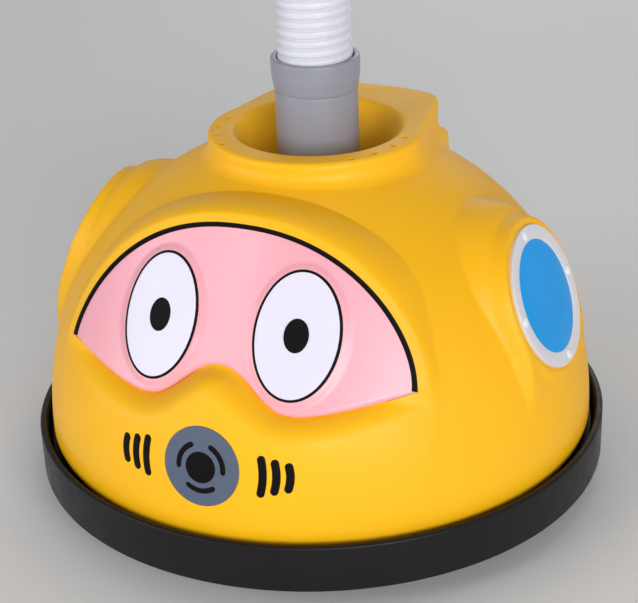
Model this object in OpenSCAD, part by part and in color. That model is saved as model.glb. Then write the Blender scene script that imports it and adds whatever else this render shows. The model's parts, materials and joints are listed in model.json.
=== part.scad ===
// Walking suction pool cleaner: domed hood, bumper, turbine drive, rocking A-frames, pods and swivelling hose.
// Millimetres. +Z up, front faces -Y, origin on the floor under the centre of the bumper.

/* [Hood and bumper] */
// Outer radius of the bumper ring
bumper_r = 168; // [160:1:176]
// Height of the bumper band
bumper_h = 28; // [22:1:34]
// Gap between the floor and the bumper band
ground_gap = 14; // [12:1:18]
// Radius of the hood at its widest
hood_r = 160; // [156:1:161]
// Wall thickness of the hood
hood_wall = 3.5; // [3:0.5:5]
// Height of the collar's flat rim above the floor
rim_z = 209; // [205:1:214]
// Radius of the crater where it meets the rim
crater_r = 47; // [42:1:50]
// How far the swivel and the crater sit behind the centre
swivel_y = 10; // [8:1:12]

/* [Face details] */
// Half width of the mask recess
mask_half = 101; // [96:1:104]
// Half width of each oval eye
eye_rx = 22.5; // [20:0.5:26]
// Half height of each oval eye
eye_rz = 34.5; // [30:0.5:38]
// Outer radius of each porthole ring
port_r = 40; // [36:1:42]
// Radius of each porthole lens
lens_r = 32; // [28:1:34]
// Radius of the round regulator badge
badge_r = 21.5; // [18:0.5:24]

/* [Drive] */
// Height of the turbine axis
turbine_z = 88; // [86:1:90]
// Radius to the tips of the turbine vanes
wheel_r = 31; // [28:1:32]
// Number of turbine vanes
vane_count = 8; // [6:1:10]
// Offset of each drive gear's eccentric
eccentric = 4; // [3:0.5:4]

/* [Hose] */
// Outer radius of the hose over its ribs
hose_r = 21; // [20:0.5:21]
// Outer radius of the hose cuffs
cuff_r = 23.5; // [23:0.5:24]
// Length of the hose section
hose_len = 254; // [254:1:300]

/* [Hidden] */
$fn = 72;
play = 0.06;          // radial clearance of a running fit
slack = 0.2;          // gap round a piece that lies in a recess

plate_z = 24;         // underside of the base plate
plate_t = 4;
plate_r = 157;
plate_top = plate_z + plate_t;
bumper_top = ground_gap + bumper_h;

dome_z = 40;          // height where the hood is widest
dome_h = 167;         // height of the dome's shape above that
dome_power = 2.15;
hem_z = 32;           // lower edge of the hood

mask_z = 140;         // centre of the mask panel
mask_y = -120;
mask_lean = 30;
mask_curve = 215;     // radius of the panel's curve across the front
mask_top = 56;
mask_notch = -18;
mask_lobe = -38;
lobe_share = 0.4;      // outer end of the lobes' flat foot, as a share of the half width
notch_share = 0.03;    // half width of the flat top of the notch, as the same share
mask_corner = -15;
panel_t = 3;

port_side = 140;      // distance of each porthole's centre from the middle plane
port_y = -6;
port_z = 130.5;
port_tilt = 22;

throat_x = 24;        // half width of the suction channel
throat_front = -31;
throat_back = -9;
barrel_in = 34;
barrel_out = 37;
barrel_half = 26;     // half length of the turbine chamber
end_wall = 5;
tube_in = 21;
tube_out = 24;
tube_top = 152.5;

module_drive = 1.25;  // tooth size of the drive gears and of the cone gear
module_steer = 1;     // tooth size inside the steering gearbox
pinion_n = 12;
drive_n = 36;
cone_n = 60;
steer_in_n = 10;
steer_out_n = 28;
pressure = 25;
drive_dist = module_drive * (pinion_n + drive_n) / 2;
drive_angle = 30;     // direction from the turbine axis to the drive gears
drive_y = drive_dist * cos(drive_angle);
drive_z = turbine_z + drive_dist * sin(drive_angle);
gear_x = 38.5;        // inner face of the drive gears
gear_w = 6;
spindle_r = 3;
ecc_disc_r = 8.6;
ecc_bush_r = 10.5;
window_r = 19;

frame_z = 58;         // pivot of the A-frames
frame_x = 46;         // inner face of the A-frames
frame_t = 6;
ankle_z = 20;         // pivot of the pods
pin_r = 3;
frame_pin_r = 3.5;

pod_x = 33.5;
pod_w = 31;
pod_half = 46;
sole_t = 4;

flap_y = 118;
flap_z = 20;
flap_half = 67;
rod_r = 1.5;

steer_y = swivel_y + module_drive * (pinion_n + cone_n) / 2;
steer_in_y = steer_y + module_steer * (steer_in_n + steer_out_n) / 2;
case_z = 114;
case_top = 128.5;
cover_t = 2.5;
case_half = 21;
case_front = 37;
case_back = 89;

cone_z = 135;         // underside of the cone gear
cuff_z = 166.5;       // lower end of the lower cuff
cuff_top = 250.5;
collar_step = 232.5;
collar_r = 25.2;
hose_z = 206;         // lower end of the hose, inside the lower cuff
hose_wall = 3;
upper_z = 424;
upper_top = 500;
socket_r = 20.6;
socket_z = 466;

hood_post_r = 140;
collar_r_out = 62;    // round front of the collar
collar_y = 8.5;       // its centre
rim_hole_ring = 54.5; // circle of the small rim holes
rim_hole_y = 4;       // its centre
steps = 26;           // rings that shape the dome

hood_yellow = [0.96, 0.66, 0.06];
dark = [0.10, 0.10, 0.11];

// ---- shared shapes ----

// Radius of the hood's skin at height z, moved outward by grow
function dome_r(z, grow = 0) =
    z < dome_z ? hood_r + grow - 5 * pow((dome_z - z) / (dome_z - hem_z), 2)
    : (hood_r + grow) * sqrt(1 - pow((z - dome_z) / (dome_h + grow), dome_power));

// Half profile of the hood's solid shape
function dome_profile(grow) = concat([[0, hem_z], [dome_r(hem_z, grow), hem_z]],
    [for (i = [1 : 3]) let (z = hem_z + (dome_z - hem_z) * i / 4) [dome_r(z, grow), z]],
    [for (i = [0 : steps - 1]) let (z = dome_z + (dome_h + grow) * sin(90 * i / steps)) [dome_r(z, grow), z]],
    [[0, dome_z + dome_h + grow]]);

module dome(grow = 0) {
    rotate_extrude($fn = 144) polygon(dome_profile(grow));
}

// A thin layer of the given thickness on the hood's skin
module dome_skin(thick) {
    difference() {
        dome(thick);
        dome(0);
        translate([0, 0, -1]) cylinder(r = 300, h = hem_z + 3);
    }
}

// Copies its children to the other side of the middle plane
module both_sides() {
    children();
    mirror([1, 0, 0]) children();
}

module side(s) {
    if (s > 0) children();
    else mirror([1, 0, 0]) children();
}

// Lays a flat outline drawn in Y and Z along +X, from x
module along_x(x, length) {
    translate([x, 0, 0]) rotate([90, 0, 90]) linear_extrude(length) children();
}

// A round bar along X at (y, z)
module bar_x(x, length, y, z, r) {
    translate([x, y, z]) rotate([0, 90, 0]) cylinder(r = r, h = length);
}

function involute(angle) = tan(angle) * 180 / PI - angle;

// Half angle of a tooth at radius r
function tooth_half(r, base_r, n) = 90 / n - 0.35 + involute(pressure)
    - (r > base_r ? involute(acos(base_r / r)) : 0);

// Radii at which one side of a tooth is sampled
function flank(root, base_r, tip) = let (start = max(root, base_r))
    concat(root < base_r ? [root] : [], [for (i = [0 : 4]) start + (tip - start) * i / 4]);

function polar(r, a) = [r * cos(a), r * sin(a)];

function gear_outline(m, n) = let (pitch = m * n / 2, base_r = pitch * cos(pressure),
    radii = flank(pitch - 1.1 * m, base_r, pitch + 0.85 * m), last = len(radii) - 1)
    [for (k = [0 : n - 1]) for (i = [0 : 2 * last + 1])
        let (r = i <= last ? radii[i] : radii[2 * last + 1 - i], s = i <= last ? -1 : 1)
        polar(r, 360 * k / n + s * tooth_half(r, base_r, n))];

// ---- hood ----

// Flat outline of the collar that carries the crater and the rear platform
module collar_outline(grow = 0) {
    side = collar_r_out + grow;
    translate([0, collar_y]) circle(r = side);
    polygon([[-side, collar_y], [side, collar_y], [48.5 + grow, 79 + grow], [40 + grow, 85 + grow],
        [20, 89 + grow], [-20, 89 + grow], [-40 - grow, 85 + grow], [-48.5 - grow, 79 + grow]]);
}

// Smooth funnel from the rim down to the swivel, widened by grow
module crater(grow = 0) {
    drop = rim_z - 165;
    translate([0, swivel_y, 0]) rotate_extrude() polygon(concat(
        [[0, 165 - grow], [0, rim_z + 5], [crater_r + grow, rim_z + 5]],
        [for (i = [0 : 10]) let (t = i / 10)
            [31 + grow + (crater_r - 31) * pow(1 - t, 1.6), rim_z - (drop + grow) * t]]));
}

// Places its children on the mask panel: +Z up the panel, -Y outward
module on_mask() {
    translate([0, mask_y, mask_z]) rotate([-mask_lean, 0, 0]) children();
}

// Upper and lower edges of the mask at a share u of its half width
function mask_upper(u) = mask_corner + (mask_top - mask_corner) * pow(1 - pow(abs(u), 2.25), 0.62);
function mask_lower(u) = let (a = abs(u)) a < lobe_share
    ? (mask_notch + mask_lobe) / 2 + (mask_notch - mask_lobe) / 2
        * cos(180 * min(1, max(0, (a - notch_share) / (lobe_share - 0.05 - notch_share))))
    : mask_lobe + (mask_corner - mask_lobe) * pow((a - lobe_share) / (1 - lobe_share), 1.35);

// Outline of the mask on its panel, widened by grow
function mask_outline(grow) = let (w = mask_half + grow)
    concat([for (i = [-24 : 24]) let (u = sin(90 * i / 24)) [w * u, mask_upper(u) + grow]],
    [for (i = [24 : -1 : -24]) [w * i / 24, mask_lower(i / 24) - grow]]);

// The mask outline pushed through the front of the hood
module mask_prism(grow = 0) {
    on_mask() translate([0, 45, 0]) rotate([90, 0, 0]) linear_extrude(110) polygon(mask_outline(grow));
}

// Solid behind the panel's curved surface, set back by depth
module panel_body(depth) {
    on_mask() translate([0, mask_curve, -120]) cylinder(r = mask_curve - depth, h = 240, $fn = 240);
}

// Places its children at a porthole: +Z out of the side of the hood
module on_port() {
    translate([port_side, port_y, port_z])
        rotate([0, 0, atan(port_y / port_side)]) rotate([0, 90 - port_tilt, 0]) children();
}

module port_disc(r, from, to) {
    on_port() translate([0, 0, from]) cylinder(r = r, h = to - from, $fn = 96);
}

module hood_outside() {
    dome();
    intersection() {
        mask_prism(12);
        panel_body(-2);
        translate([-150, -170, mask_z - 20]) cube([300, 170, 120]);
        dome(12);
    }
    translate([0, 0, 170]) linear_extrude(rim_z - 170) collar_outline();
    translate([0, 0, 170]) linear_extrude(13) collar_outline(8);
    hood_posts(hem_z + 8);
    both_sides() {
        port_disc(port_r + 7, -22, 0);
        port_disc(port_r + 13, -24, -6);
        port_disc(port_r + 20, -44, -13);
    }
}

module hood_cavity() {
    difference() {
        union() {
            translate([0, 0, hem_z - 8]) cylinder(r = hood_r - 9, h = 10);
            dome(-hood_wall);
            translate([0, 0, 150]) linear_extrude(rim_z - hood_wall - 150) collar_outline(-hood_wall);
            both_sides() {
                port_disc(port_r + 2, -30, -8);
                port_disc(port_r + 15, -48, -18);
            }
        }
        intersection() {
            mask_prism(hood_wall);
            difference() {
                panel_body(-20);
                panel_body(panel_t + hood_wall);
            }
        }
        both_sides() port_disc(port_r + 4, -8, 6);
        crater(hood_wall);
        hood_posts(plate_top + 100);
        float_ribs();
    }
}

// Posts that take the hood screws
module hood_posts(top) {
    for (a = [45 : 90 : 315]) rotate([0, 0, a]) translate([hood_post_r, 0, plate_top])
        cylinder(r = 5, h = top - plate_top);
}

// Ribs under the dome that press on the float
module float_ribs() {
    for (x = [-30, 30]) translate([x - 1.25, -88, 158]) cube([2.5, 40, 60]);
}

module hood() {
    color(hood_yellow) difference() {
        hood_outside();
        hood_cavity();
        crater();
        translate([0, swivel_y, 150]) cylinder(r = 31, h = 20);
        mask_pocket();
        both_sides() port_disc(port_r + slack, -3.2, 20);
        rim_holes();
        for (a = [45 : 90 : 315]) rotate([0, 0, a])
            translate([hood_post_r, 0, plate_top - 1]) cylinder(r = 2, h = 18);
    }
}

module mask_pocket() {
    difference() {
        mask_prism(slack);
        panel_body(panel_t);
    }
}

module rim_holes() {
    for (a = [45 : 15.5 : 92], s = [-1, 1])
        translate([s * rim_hole_ring * sin(a), rim_hole_y - rim_hole_ring * cos(a), rim_z - 8])
            cylinder(r = 2, h = 10, $fn = 24);
}

module bumper_ring() {
    color(dark) rotate_extrude($fn = 144) polygon([
        [bumper_r, ground_gap + 1], [bumper_r, bumper_top - 3], [bumper_r - 0.8, bumper_top - 1],
        [bumper_r - 2.5, bumper_top], [bumper_r - 4.2, bumper_top - 0.8], [bumper_r - 6, bumper_top - 6],
        [bumper_r - 6.5, plate_top + 3], [plate_r - 3.5, plate_top + 3], [plate_r - 3.5, plate_top],
        [plate_r, plate_top], [plate_r, plate_z], [plate_r - 5, plate_z], [plate_r - 5, plate_z - 3],
        [bumper_r - 7, plate_z - 4], [bumper_r - 6.5, ground_gap + 1], [bumper_r - 5, ground_gap],
        [bumper_r - 1, ground_gap]]);
}

// ---- face graphics and portholes ----

module mask_panel() {
    color([0.96, 0.66, 0.70]) intersection() {
        mask_prism();
        difference() {
            panel_body(0);
            panel_body(panel_t);
        }
    }
}

// Flat outline of an oval on the panel
module oval(rx, rz) {
    polygon([for (i = [0 : 59]) [rx * cos(6 * i), rz * sin(6 * i)]]);
}

// A layer on the panel within an outline drawn at the eye's centre
module eye_layer(from, to) {
    intersection() {
        both_sides() on_mask() translate([39.4, 30, 3.2]) rotate([90, 0, 0]) linear_extrude(60) children();
        difference() {
            panel_body(-to);
            panel_body(-from);
        }
    }
}

module eye_ovals() {
    color([0.93, 0.92, 0.97]) eye_layer(0, 2.4) oval(eye_rx, eye_rz);
}

module pupils() {
    color(dark) eye_layer(2.4, 3) oval(6.5, 9);
}

// Dark moulding along the mask's upper edge
module mask_trim() {
    color(dark) intersection() {
        on_mask() translate([0, 45, 0]) rotate([90, 0, 0]) linear_extrude(110) polygon(concat(
            [for (i = [-24 : 24]) let (u = sin(90 * i / 24)) [mask_half * u, mask_upper(u)]],
            [for (i = [24 : -1 : -24]) let (u = sin(90 * i / 24)) [(mask_half - 1.5) * u, mask_upper(u) - 2.3]]));
        difference() {
            panel_body(-1.1);
            panel_body(-0.1);
        }
    }
}

module porthole_rings() {
    color([0.80, 0.80, 0.84]) both_sides() difference() {
        port_disc(port_r, -3.2, 1);
        port_disc(lens_r, -4, 2);
    }
}

module porthole_lenses() {
    color([0.15, 0.60, 0.90]) both_sides() port_disc(lens_r, -3.2, -0.4);
}

module porthole_rivets() {
    color([0.92, 0.92, 0.94]) both_sides() on_port() for (a = [0 : 90 : 270])
        rotate([0, 0, a]) translate([(port_r + lens_r) / 2, 0, 1]) intersection() {
            cylinder(r = 2.4, h = 2, $fn = 32);
            translate([0, 0, -2]) sphere(r = 3.3, $fn = 32);
        }
}

// Pushes an outline drawn in X and Z through the front of the hood's skin
module on_front(thick) {
    intersection() {
        translate([0, -100, 0]) rotate([90, 0, 0]) linear_extrude(80) children();
        dome_skin(thick);
    }
}

module regulator_badge() {
    color([0.40, 0.45, 0.54]) on_front(0.8) difference() {
        translate([0, 78]) circle(r = badge_r);
        regulator_outline();
    }
}

// Round centre and three curved slots of the badge
module regulator_outline() {
    translate([0, 78]) {
        circle(r = 8.5);
        for (a = [30, 150, 270]) rotate(a) difference() {
            circle(r = 14.5);
            circle(r = 11);
            for (s = [-1, 1]) rotate(s * 44) translate([-20, s > 0 ? 0 : -40]) square([40, 40]);
            translate([-40, -20]) square([40, 40]);
        }
    }
}

module regulator_marks() {
    color(dark) on_front(0.8) regulator_outline();
}

module grille_bars() {
    color(dark) on_front(0.8) for (s = [-1, 1], i = [0 : 2])
        translate([s * (33 + 7 * i), 77]) {
            h = 9 - 1.6 * i;
            square([4.4, 2 * h], center = true);
            for (e = [-1, 1]) translate([0, e * h]) circle(r = 2.2, $fn = 32);
        }
}

// ---- base ----

module base_plate() {
    color([0.20, 0.21, 0.24]) difference() {
        union() {
            translate([0, 0, plate_z]) cylinder(r = plate_r, h = plate_t, $fn = 144);
            translate([0, 0, plate_z]) ring(149, 146, 14);
            both_sides() for (s = [-1, 1]) translate([flap_half + 1, s * flap_y - 4, 16.5]) cube([4, 8, 8]);
        }
        translate([-throat_x - 3, throat_front - 3, plate_z - 1]) cube([2 * throat_x + 6,
            throat_back - throat_front + 6, plate_t + 2]);
        both_sides() translate([39, -17, plate_z - 1]) cube([21, 34, plate_t + 2]);
        for (s = [-1, 1]) bar_x(-80, 160, s * flap_y, flap_z, rod_r);
        for (a = [45 : 90 : 315]) rotate([0, 0, a]) translate([hood_post_r, 0, 20]) cylinder(r = 2, h = 20);
        saddle_holes();
        for (a = [20 : 35 : 160], b = [0, 180]) rotate([0, 0, a + b])
            translate([115, 0, plate_z - 1]) cylinder(r = 6, h = plate_t + 2, $fn = 32);
    }
}

module ring(outer, inner, h) {
    difference() {
        cylinder(r = outer, h = h);
        translate([0, 0, -1]) cylinder(r = inner, h = h + 2);
    }
}

module throat() {
    color([0.16, 0.17, 0.20]) difference() {
        union() {
            translate([-throat_x - 3, throat_front - 3, 10]) cube([2 * throat_x + 6,
                throat_back - throat_front + 6, 24]);
            translate([-throat_x - 6, throat_front - 14, 9]) cube([2 * throat_x + 12,
                throat_back - throat_front + 28, 3]);
        }
        translate([-throat_x, throat_front, 0]) cube([2 * throat_x, throat_back - throat_front, 60]);
    }
}

// ---- turbine housing ----

module housing_outside() {
    bar_x(-barrel_half - end_wall, 2 * (barrel_half + end_wall), 0, turbine_z, barrel_out);
    translate([-throat_x - 3, throat_front - 3, 34]) cube([2 * throat_x + 6,
        throat_back - throat_front + 6, turbine_z - 34]);
    translate([0, swivel_y, 104]) cylinder(r = tube_out, h = tube_top - 104);
    translate([-20, 20, 96]) cube([40, 22, 18]);
    translate([-20, 30, 108]) cube([40, 48, 6]);
    for (x = [-31.5, 31.5], z = [48.5, 127.5]) translate([x, 8, z]) rotate([90, 0, 0]) cylinder(r = 4, h = 16);
}

module housing_inside() {
    bar_x(-barrel_half, 2 * barrel_half, 0, turbine_z, barrel_in);
    translate([-throat_x, throat_front, 30]) cube([2 * throat_x, throat_back - throat_front, turbine_z - 30]);
    translate([0, swivel_y, 100]) cylinder(r = tube_in, h = 60);
    bar_x(-40, 80, 0, turbine_z, 8);
    bar_x(27, 10, drive_y, drive_z, spindle_r);
    bar_x(-37, 10, drive_y, drive_z, spindle_r);
    for (x = [-31.5, 31.5], z = [48.5, 127.5]) translate([x, 10, z]) rotate([90, 0, 0]) cylinder(r = 1.6, h = 20);
}

module turbine_housing_front() {
    color([0.24, 0.26, 0.30]) difference() {
        housing_outside();
        housing_inside();
        translate([-60, 0, 0]) cube([120, 120, 200]);
    }
}

module turbine_housing_rear() {
    color([0.30, 0.32, 0.36]) difference() {
        housing_outside();
        housing_inside();
        translate([-60, -120, 0]) cube([120, 120, 200]);
    }
}

module housing_screws() {
    color("silver") for (x = [-31.5, 31.5], z = [48.5, 127.5]) translate([x, 0, z]) rotate([90, 0, 0]) {
        translate([0, 0, -7]) cylinder(r = 1.6, h = 15);
        translate([0, 0, 8]) screw_head(3.2, 2.4);
    }
}

// Pan head with a cross slot, standing on z = 0
module screw_head(r, h) {
    difference() {
        cylinder(r = r, h = h, $fn = 32);
        for (a = [0, 90]) rotate([0, 0, a]) translate([-r * 0.6, -0.4, h - 1]) cube([r * 1.2, 0.8, 2]);
    }
}

// ---- turbine and drive ----

module turbine_wheel() {
    color([0.85, 0.85, 0.80]) difference() {
        union() {
            bar_x(-23, 46, 0, turbine_z, 8);
            for (k = [0 : vane_count - 1]) translate([0, 0, turbine_z]) rotate([360 * k / vane_count, 0, 0])
                vane();
        }
        bar_x(-30, 60, 0, turbine_z, spindle_r);
    }
}

// One vane with a bent tip
module vane() {
    along_x(-23, 46) {
        translate([6, -1.2]) square([17, 2.4]);
        translate([22.5, -1.2]) rotate(20) square([8, 2.4]);
    }
}

module turbine_spindle() {
    color("silver") bar_x(-45.6, 91.2, 0, turbine_z, spindle_r);
}

module spindle_bearings() {
    color([0.75, 0.68, 0.50]) both_sides() difference() {
        bar_x(barrel_half, end_wall + 1, 0, turbine_z, 8);
        bar_x(barrel_half - 1, end_wall + 3, 0, turbine_z, spindle_r + play);
    }
}

module pinion(s) {
    color([0.90, 0.88, 0.82]) translate([s > 0 ? gear_x - 0.5 : -gear_x - gear_w - 0.5, 0, turbine_z])
        rotate([90, 0, 90]) linear_extrude(gear_w + 1) difference() {
            rotate(drive_angle) polygon(gear_outline(module_drive, pinion_n));
            circle(r = spindle_r);
        }
}

module pinion_left() {
    pinion(-1);
}

module pinion_right() {
    pinion(1);
}

module gear_axles() {
    color("silver") both_sides() bar_x(27, 29, drive_y, drive_z, spindle_r);
}

module gear_clips() {
    color("silver") both_sides() difference() {
        bar_x(53.6, 1.4, drive_y, drive_z, 6);
        bar_x(50, 10, drive_y, drive_z, spindle_r);
    }
}

// Direction from the gear axle to the eccentric's centre
function eccentric_angle(s) = s > 0 ? 240 : 60;

// Drive gear with its eccentric disc; the two sides stand half a turn apart
module drive_gear(s) {
    x_gear = s > 0 ? gear_x : -gear_x - gear_w;
    x_disc = s > 0 ? gear_x + gear_w : -gear_x - gear_w - 8.5;
    color([0.92, 0.90, 0.84]) difference() {
        union() {
            translate([x_gear, drive_y, drive_z]) rotate([90, 0, 90]) linear_extrude(gear_w)
                rotate(180 + drive_angle + 180 / drive_n) polygon(gear_outline(module_drive, drive_n));
            translate([0, drive_y, drive_z]) along_x(x_disc, 8.5)
                rotate(eccentric_angle(s)) translate([eccentric, 0]) circle(r = ecc_disc_r);
        }
        bar_x(-60, 120, drive_y, drive_z, spindle_r + play);
    }
}

module drive_gear_left() {
    drive_gear(-1);
}

module drive_gear_right() {
    drive_gear(1);
}

module eccentric_bush(s) {
    color([0.75, 0.68, 0.50]) translate([0, drive_y, drive_z]) along_x(s > 0 ? 46 : -52.5, 6.5)
        rotate(eccentric_angle(s)) translate([eccentric, 0]) difference() {
            circle(r = ecc_bush_r);
            circle(r = ecc_disc_r);
        }
}

module eccentric_bush_left() {
    eccentric_bush(-1);
}

module eccentric_bush_right() {
    eccentric_bush(1);
}

// ---- walking gear ----

module saddle() {
    color([0.28, 0.30, 0.34]) difference() {
        union() {
            translate([34, -28, plate_top]) cube([29, 56, 3]);
            for (x = [36, 55]) along_x(x, x < 50 ? 7 : 6) {
                translate([0, frame_z]) circle(r = 9);
                polygon([[-15, plate_top], [15, plate_top], [8.6, frame_z], [-8.6, frame_z]]);
            }
        }
        translate([44, -15, 20]) cube([10.5, 30, 20]);
        bar_x(30, 40, 0, frame_z, frame_pin_r);
        saddle_holes();
    }
}

module saddle_holes() {
    both_sides() for (x = [38, 59], y = [-22, 22]) translate([x, y, 20]) cylinder(r = 1.6, h = 20, $fn = 32);
}

module saddle_left() {
    side(-1) saddle();
}

module saddle_right() {
    saddle();
}

module saddle_screws() {
    color("silver") both_sides() for (x = [38, 59], y = [-22, 22]) translate([x, y, 0]) {
        translate([0, 0, plate_z]) cylinder(r = 1.6, h = plate_t + 3, $fn = 32);
        translate([0, 0, plate_top + 3]) screw_head(3, 2);
    }
}

module frame_axles() {
    color("silver") both_sides() bar_x(35.5, 26.5, 0, frame_z, frame_pin_r);
}

// Rocking frame: the upper ring goes round the eccentric, the foot carries a pod
module a_frame() {
    color([0.88, 0.88, 0.90]) difference() {
        union() {
            along_x(frame_x, frame_t) difference() {
                union() {
                    translate([drive_y, drive_z]) circle(r = window_r + 5);
                    translate([0, frame_z]) rotate(60) translate([0, -8]) square([36, 16]);
                    polygon([[-9, frame_z], [9, frame_z], [11, 28], [7, ankle_z], [-7, ankle_z], [-11, 28]]);
                    translate([0, ankle_z]) circle(r = 7.5);
                }
                translate([0, 39]) circle(r = 5);
            }
            bar_x(44, 10, 0, frame_z, 8);
        }
        bar_x(30, 40, drive_y, drive_z, window_r);
        bar_x(30, 40, 0, frame_z, frame_pin_r + play);
        bar_x(30, 40, 0, ankle_z, pin_r);
    }
}

module a_frame_left() {
    side(-1) a_frame();
}

module a_frame_right() {
    a_frame();
}

module pod_pin() {
    color("silver") bar_x(40.5, 17, 0, ankle_z, pin_r);
}

module pod_pin_left() {
    side(-1) pod_pin();
}

module pod_pin_right() {
    pod_pin();
}

// Rocker-shaped foot with two ears round the ankle pin
module pod() {
    color([0.30, 0.33, 0.38]) difference() {
        union() {
            along_x(pod_x, pod_w) polygon([[-pod_half, 7], [-pod_half + 8, sole_t], [pod_half - 8, sole_t],
                [pod_half, 7], [pod_half, 10], [pod_half - 12, 12], [12, 11.5], [-12, 11.5],
                [-pod_half + 12, 12], [-pod_half, 10]]);
            for (x = [41.2, 52.6]) along_x(x, 4.2) {
                translate([0, ankle_z]) circle(r = 6.8);
                polygon([[-10, 10], [10, 10], [6.6, ankle_z], [-6.6, ankle_z]]);
            }
        }
        bar_x(30, 40, 0, ankle_z, pin_r + play);
    }
}

module pod_left() {
    side(-1) pod();
}

module pod_right() {
    pod();
}

// Soft grooved sole
module shoe() {
    color(dark) difference() {
        along_x(pod_x, pod_w) polygon([[-pod_half, 3], [-pod_half + 8, 0], [pod_half - 8, 0],
            [pod_half, 3], [pod_half, 7], [pod_half - 8, sole_t], [-pod_half + 8, sole_t], [-pod_half, 7]]);
        for (y = [-30 : 10 : 30]) translate([pod_x - 1, y - 1.5, -1]) cube([pod_w + 2, 3, 2.5]);
    }
}

module shoe_left() {
    side(-1) shoe();
}

module shoe_right() {
    shoe();
}

// ---- flaps ----

// Flap that hangs from its rod at the front; the rear one is its mirror image
module flap() {
    color([0.14, 0.15, 0.17]) difference() {
        union() {
            bar_x(-flap_half, 2 * flap_half, -flap_y, flap_z, 3.2);
            translate([-flap_half, -flap_y - 1.2, 5]) cube([2 * flap_half, 2.4, flap_z - 5]);
            for (x = [-50 : 25 : 50]) translate([x - 1, -flap_y, 6]) cube([2, 4, 12]);
        }
        bar_x(-100, 200, -flap_y, flap_z, rod_r + play);
    }
}

module flap_front() {
    flap();
}

module flap_rear() {
    mirror([0, 1, 0]) flap();
}

module flap_rods() {
    color("silver") for (s = [-1, 1]) bar_x(-flap_half - 6, 2 * flap_half + 12, s * flap_y, flap_z, rod_r);
}

// ---- steering gearbox ----

module steering_case() {
    color([0.20, 0.21, 0.24]) difference() {
        translate([-case_half, case_front, case_z]) cube([2 * case_half, case_back - case_front,
            case_top - case_z]);
        translate([-case_half + 2.5, case_front + 2.5, case_z + 2.5]) cube([2 * case_half - 5,
            case_back - case_front - 5, 20]);
        translate([0, steer_y, case_z + 0.8]) cylinder(r = 2.5 + play, h = 4);
        translate([0, steer_in_y, case_z + 0.8]) cylinder(r = 1.5, h = 4);
        bar_x(-30, 12, steer_in_y + 6, 124, 2);
        bar_x(18, 12, steer_in_y - 6, 124, 2);
    }
    color([0.20, 0.21, 0.24]) case_corners() difference() {
        cylinder(r = 2.4, h = 12);
        translate([0, 0, 4]) cylinder(r = 1.1, h = 9, $fn = 32);
    }
}

// Places its children in the four corners of the gearbox, just above its floor
module case_corners() {
    for (x = [-case_half + 4.4, case_half - 4.4], y = [case_front + 4.4, case_back - 4.4])
        translate([x, y, case_z + 2.5]) children();
}

module steering_cover() {
    color([0.26, 0.28, 0.31]) difference() {
        translate([-case_half, case_front, case_top]) cube([2 * case_half, case_back - case_front, cover_t]);
        translate([0, steer_y, case_top - 1]) cylinder(r = 3.5 + play, h = 6);
        translate([0, steer_in_y, case_top - 1]) cylinder(r = 1.5, h = 2.4);
        case_corners() cylinder(r = 1.1, h = 20, $fn = 32);
    }
}

module steering_screws() {
    color("silver") case_corners() {
        translate([0, 0, 6]) cylinder(r = 1.1, h = 8.5, $fn = 32);
        translate([0, 0, case_top + cover_t - case_z - 2.5]) screw_head(2.2, 1.6);
    }
}

module steering_pin() {
    color("silver") translate([0, steer_in_y, case_z + 0.8]) cylinder(r = 1.5, h = case_top - case_z + 0.6);
}

// Small vane wheel that drives the steering
module steering_turbine() {
    color([0.85, 0.85, 0.80]) translate([0, steer_in_y, 0]) difference() {
        union() {
            translate([0, 0, case_z + 3]) linear_extrude(3.5)
                rotate(-90) polygon(gear_outline(module_steer, steer_in_n));
            translate([0, 0, case_z + 6.5]) cylinder(r = 3.4, h = 7.5);
            translate([0, 0, case_z + 7.2]) for (k = [0 : 7]) rotate([0, 0, 45 * k])
                translate([2, -0.6, 0]) cube([8.4, 1.2, 6.4]);
        }
        cylinder(r = 1.5 + play, h = 200);
    }
}

module steering_gear() {
    color([0.92, 0.90, 0.84]) translate([0, steer_y, 0]) {
        translate([0, 0, case_z + 1]) cylinder(r = 2.5, h = 2);
        translate([0, 0, case_z + 3]) linear_extrude(3.5)
            rotate(90 + 180 / steer_out_n) polygon(gear_outline(module_steer, steer_out_n));
        translate([0, 0, case_z + 6.5]) cylinder(r = 3.5, h = 11.5);
        translate([0, 0, case_z + 18]) linear_extrude(9.5) rotate(-90) polygon(gear_outline(module_drive, pinion_n));
    }
}

// ---- swivel and hose ----

module cone_bushing() {
    color([0.90, 0.90, 0.92]) translate([0, swivel_y, 0]) difference() {
        union() {
            translate([0, 0, cone_z - 3]) cylinder(r = 31, h = 2.6);
            translate([0, 0, cone_z - 3]) cylinder(r = 26.5, h = 17);
        }
        cylinder(r = tube_out, h = 200);
    }
}

module cone_retainer() {
    color("silver") translate([0, swivel_y, 150.1]) ring(28.3, tube_out, 1.8);
}

// Ring gear that turns with the hose, narrowing into the spigot for the cuff
module cone_gear() {
    color([0.93, 0.93, 0.95]) translate([0, swivel_y, 0]) difference() {
        union() {
            translate([0, 0, cone_z + 0.5]) linear_extrude(6)
                rotate(90 + 180 / cone_n) polygon(gear_outline(module_drive, cone_n));
            rotate_extrude() polygon([[0, cone_z], [34, cone_z], [34, cone_z + 9], [33, cone_z + 23],
                [24.5, cuff_z], [20.35, cuff_z], [20.35, 190], [0, 190]]);
        }
        rotate_extrude() polygon([[0, 0], [26.5 + play, 0], [26.5 + play, 149.8], [29.3, 149.8],
            [29.3, 156], [17.5, 164], [17.5, 200], [0, 200]]);
    }
}

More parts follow.
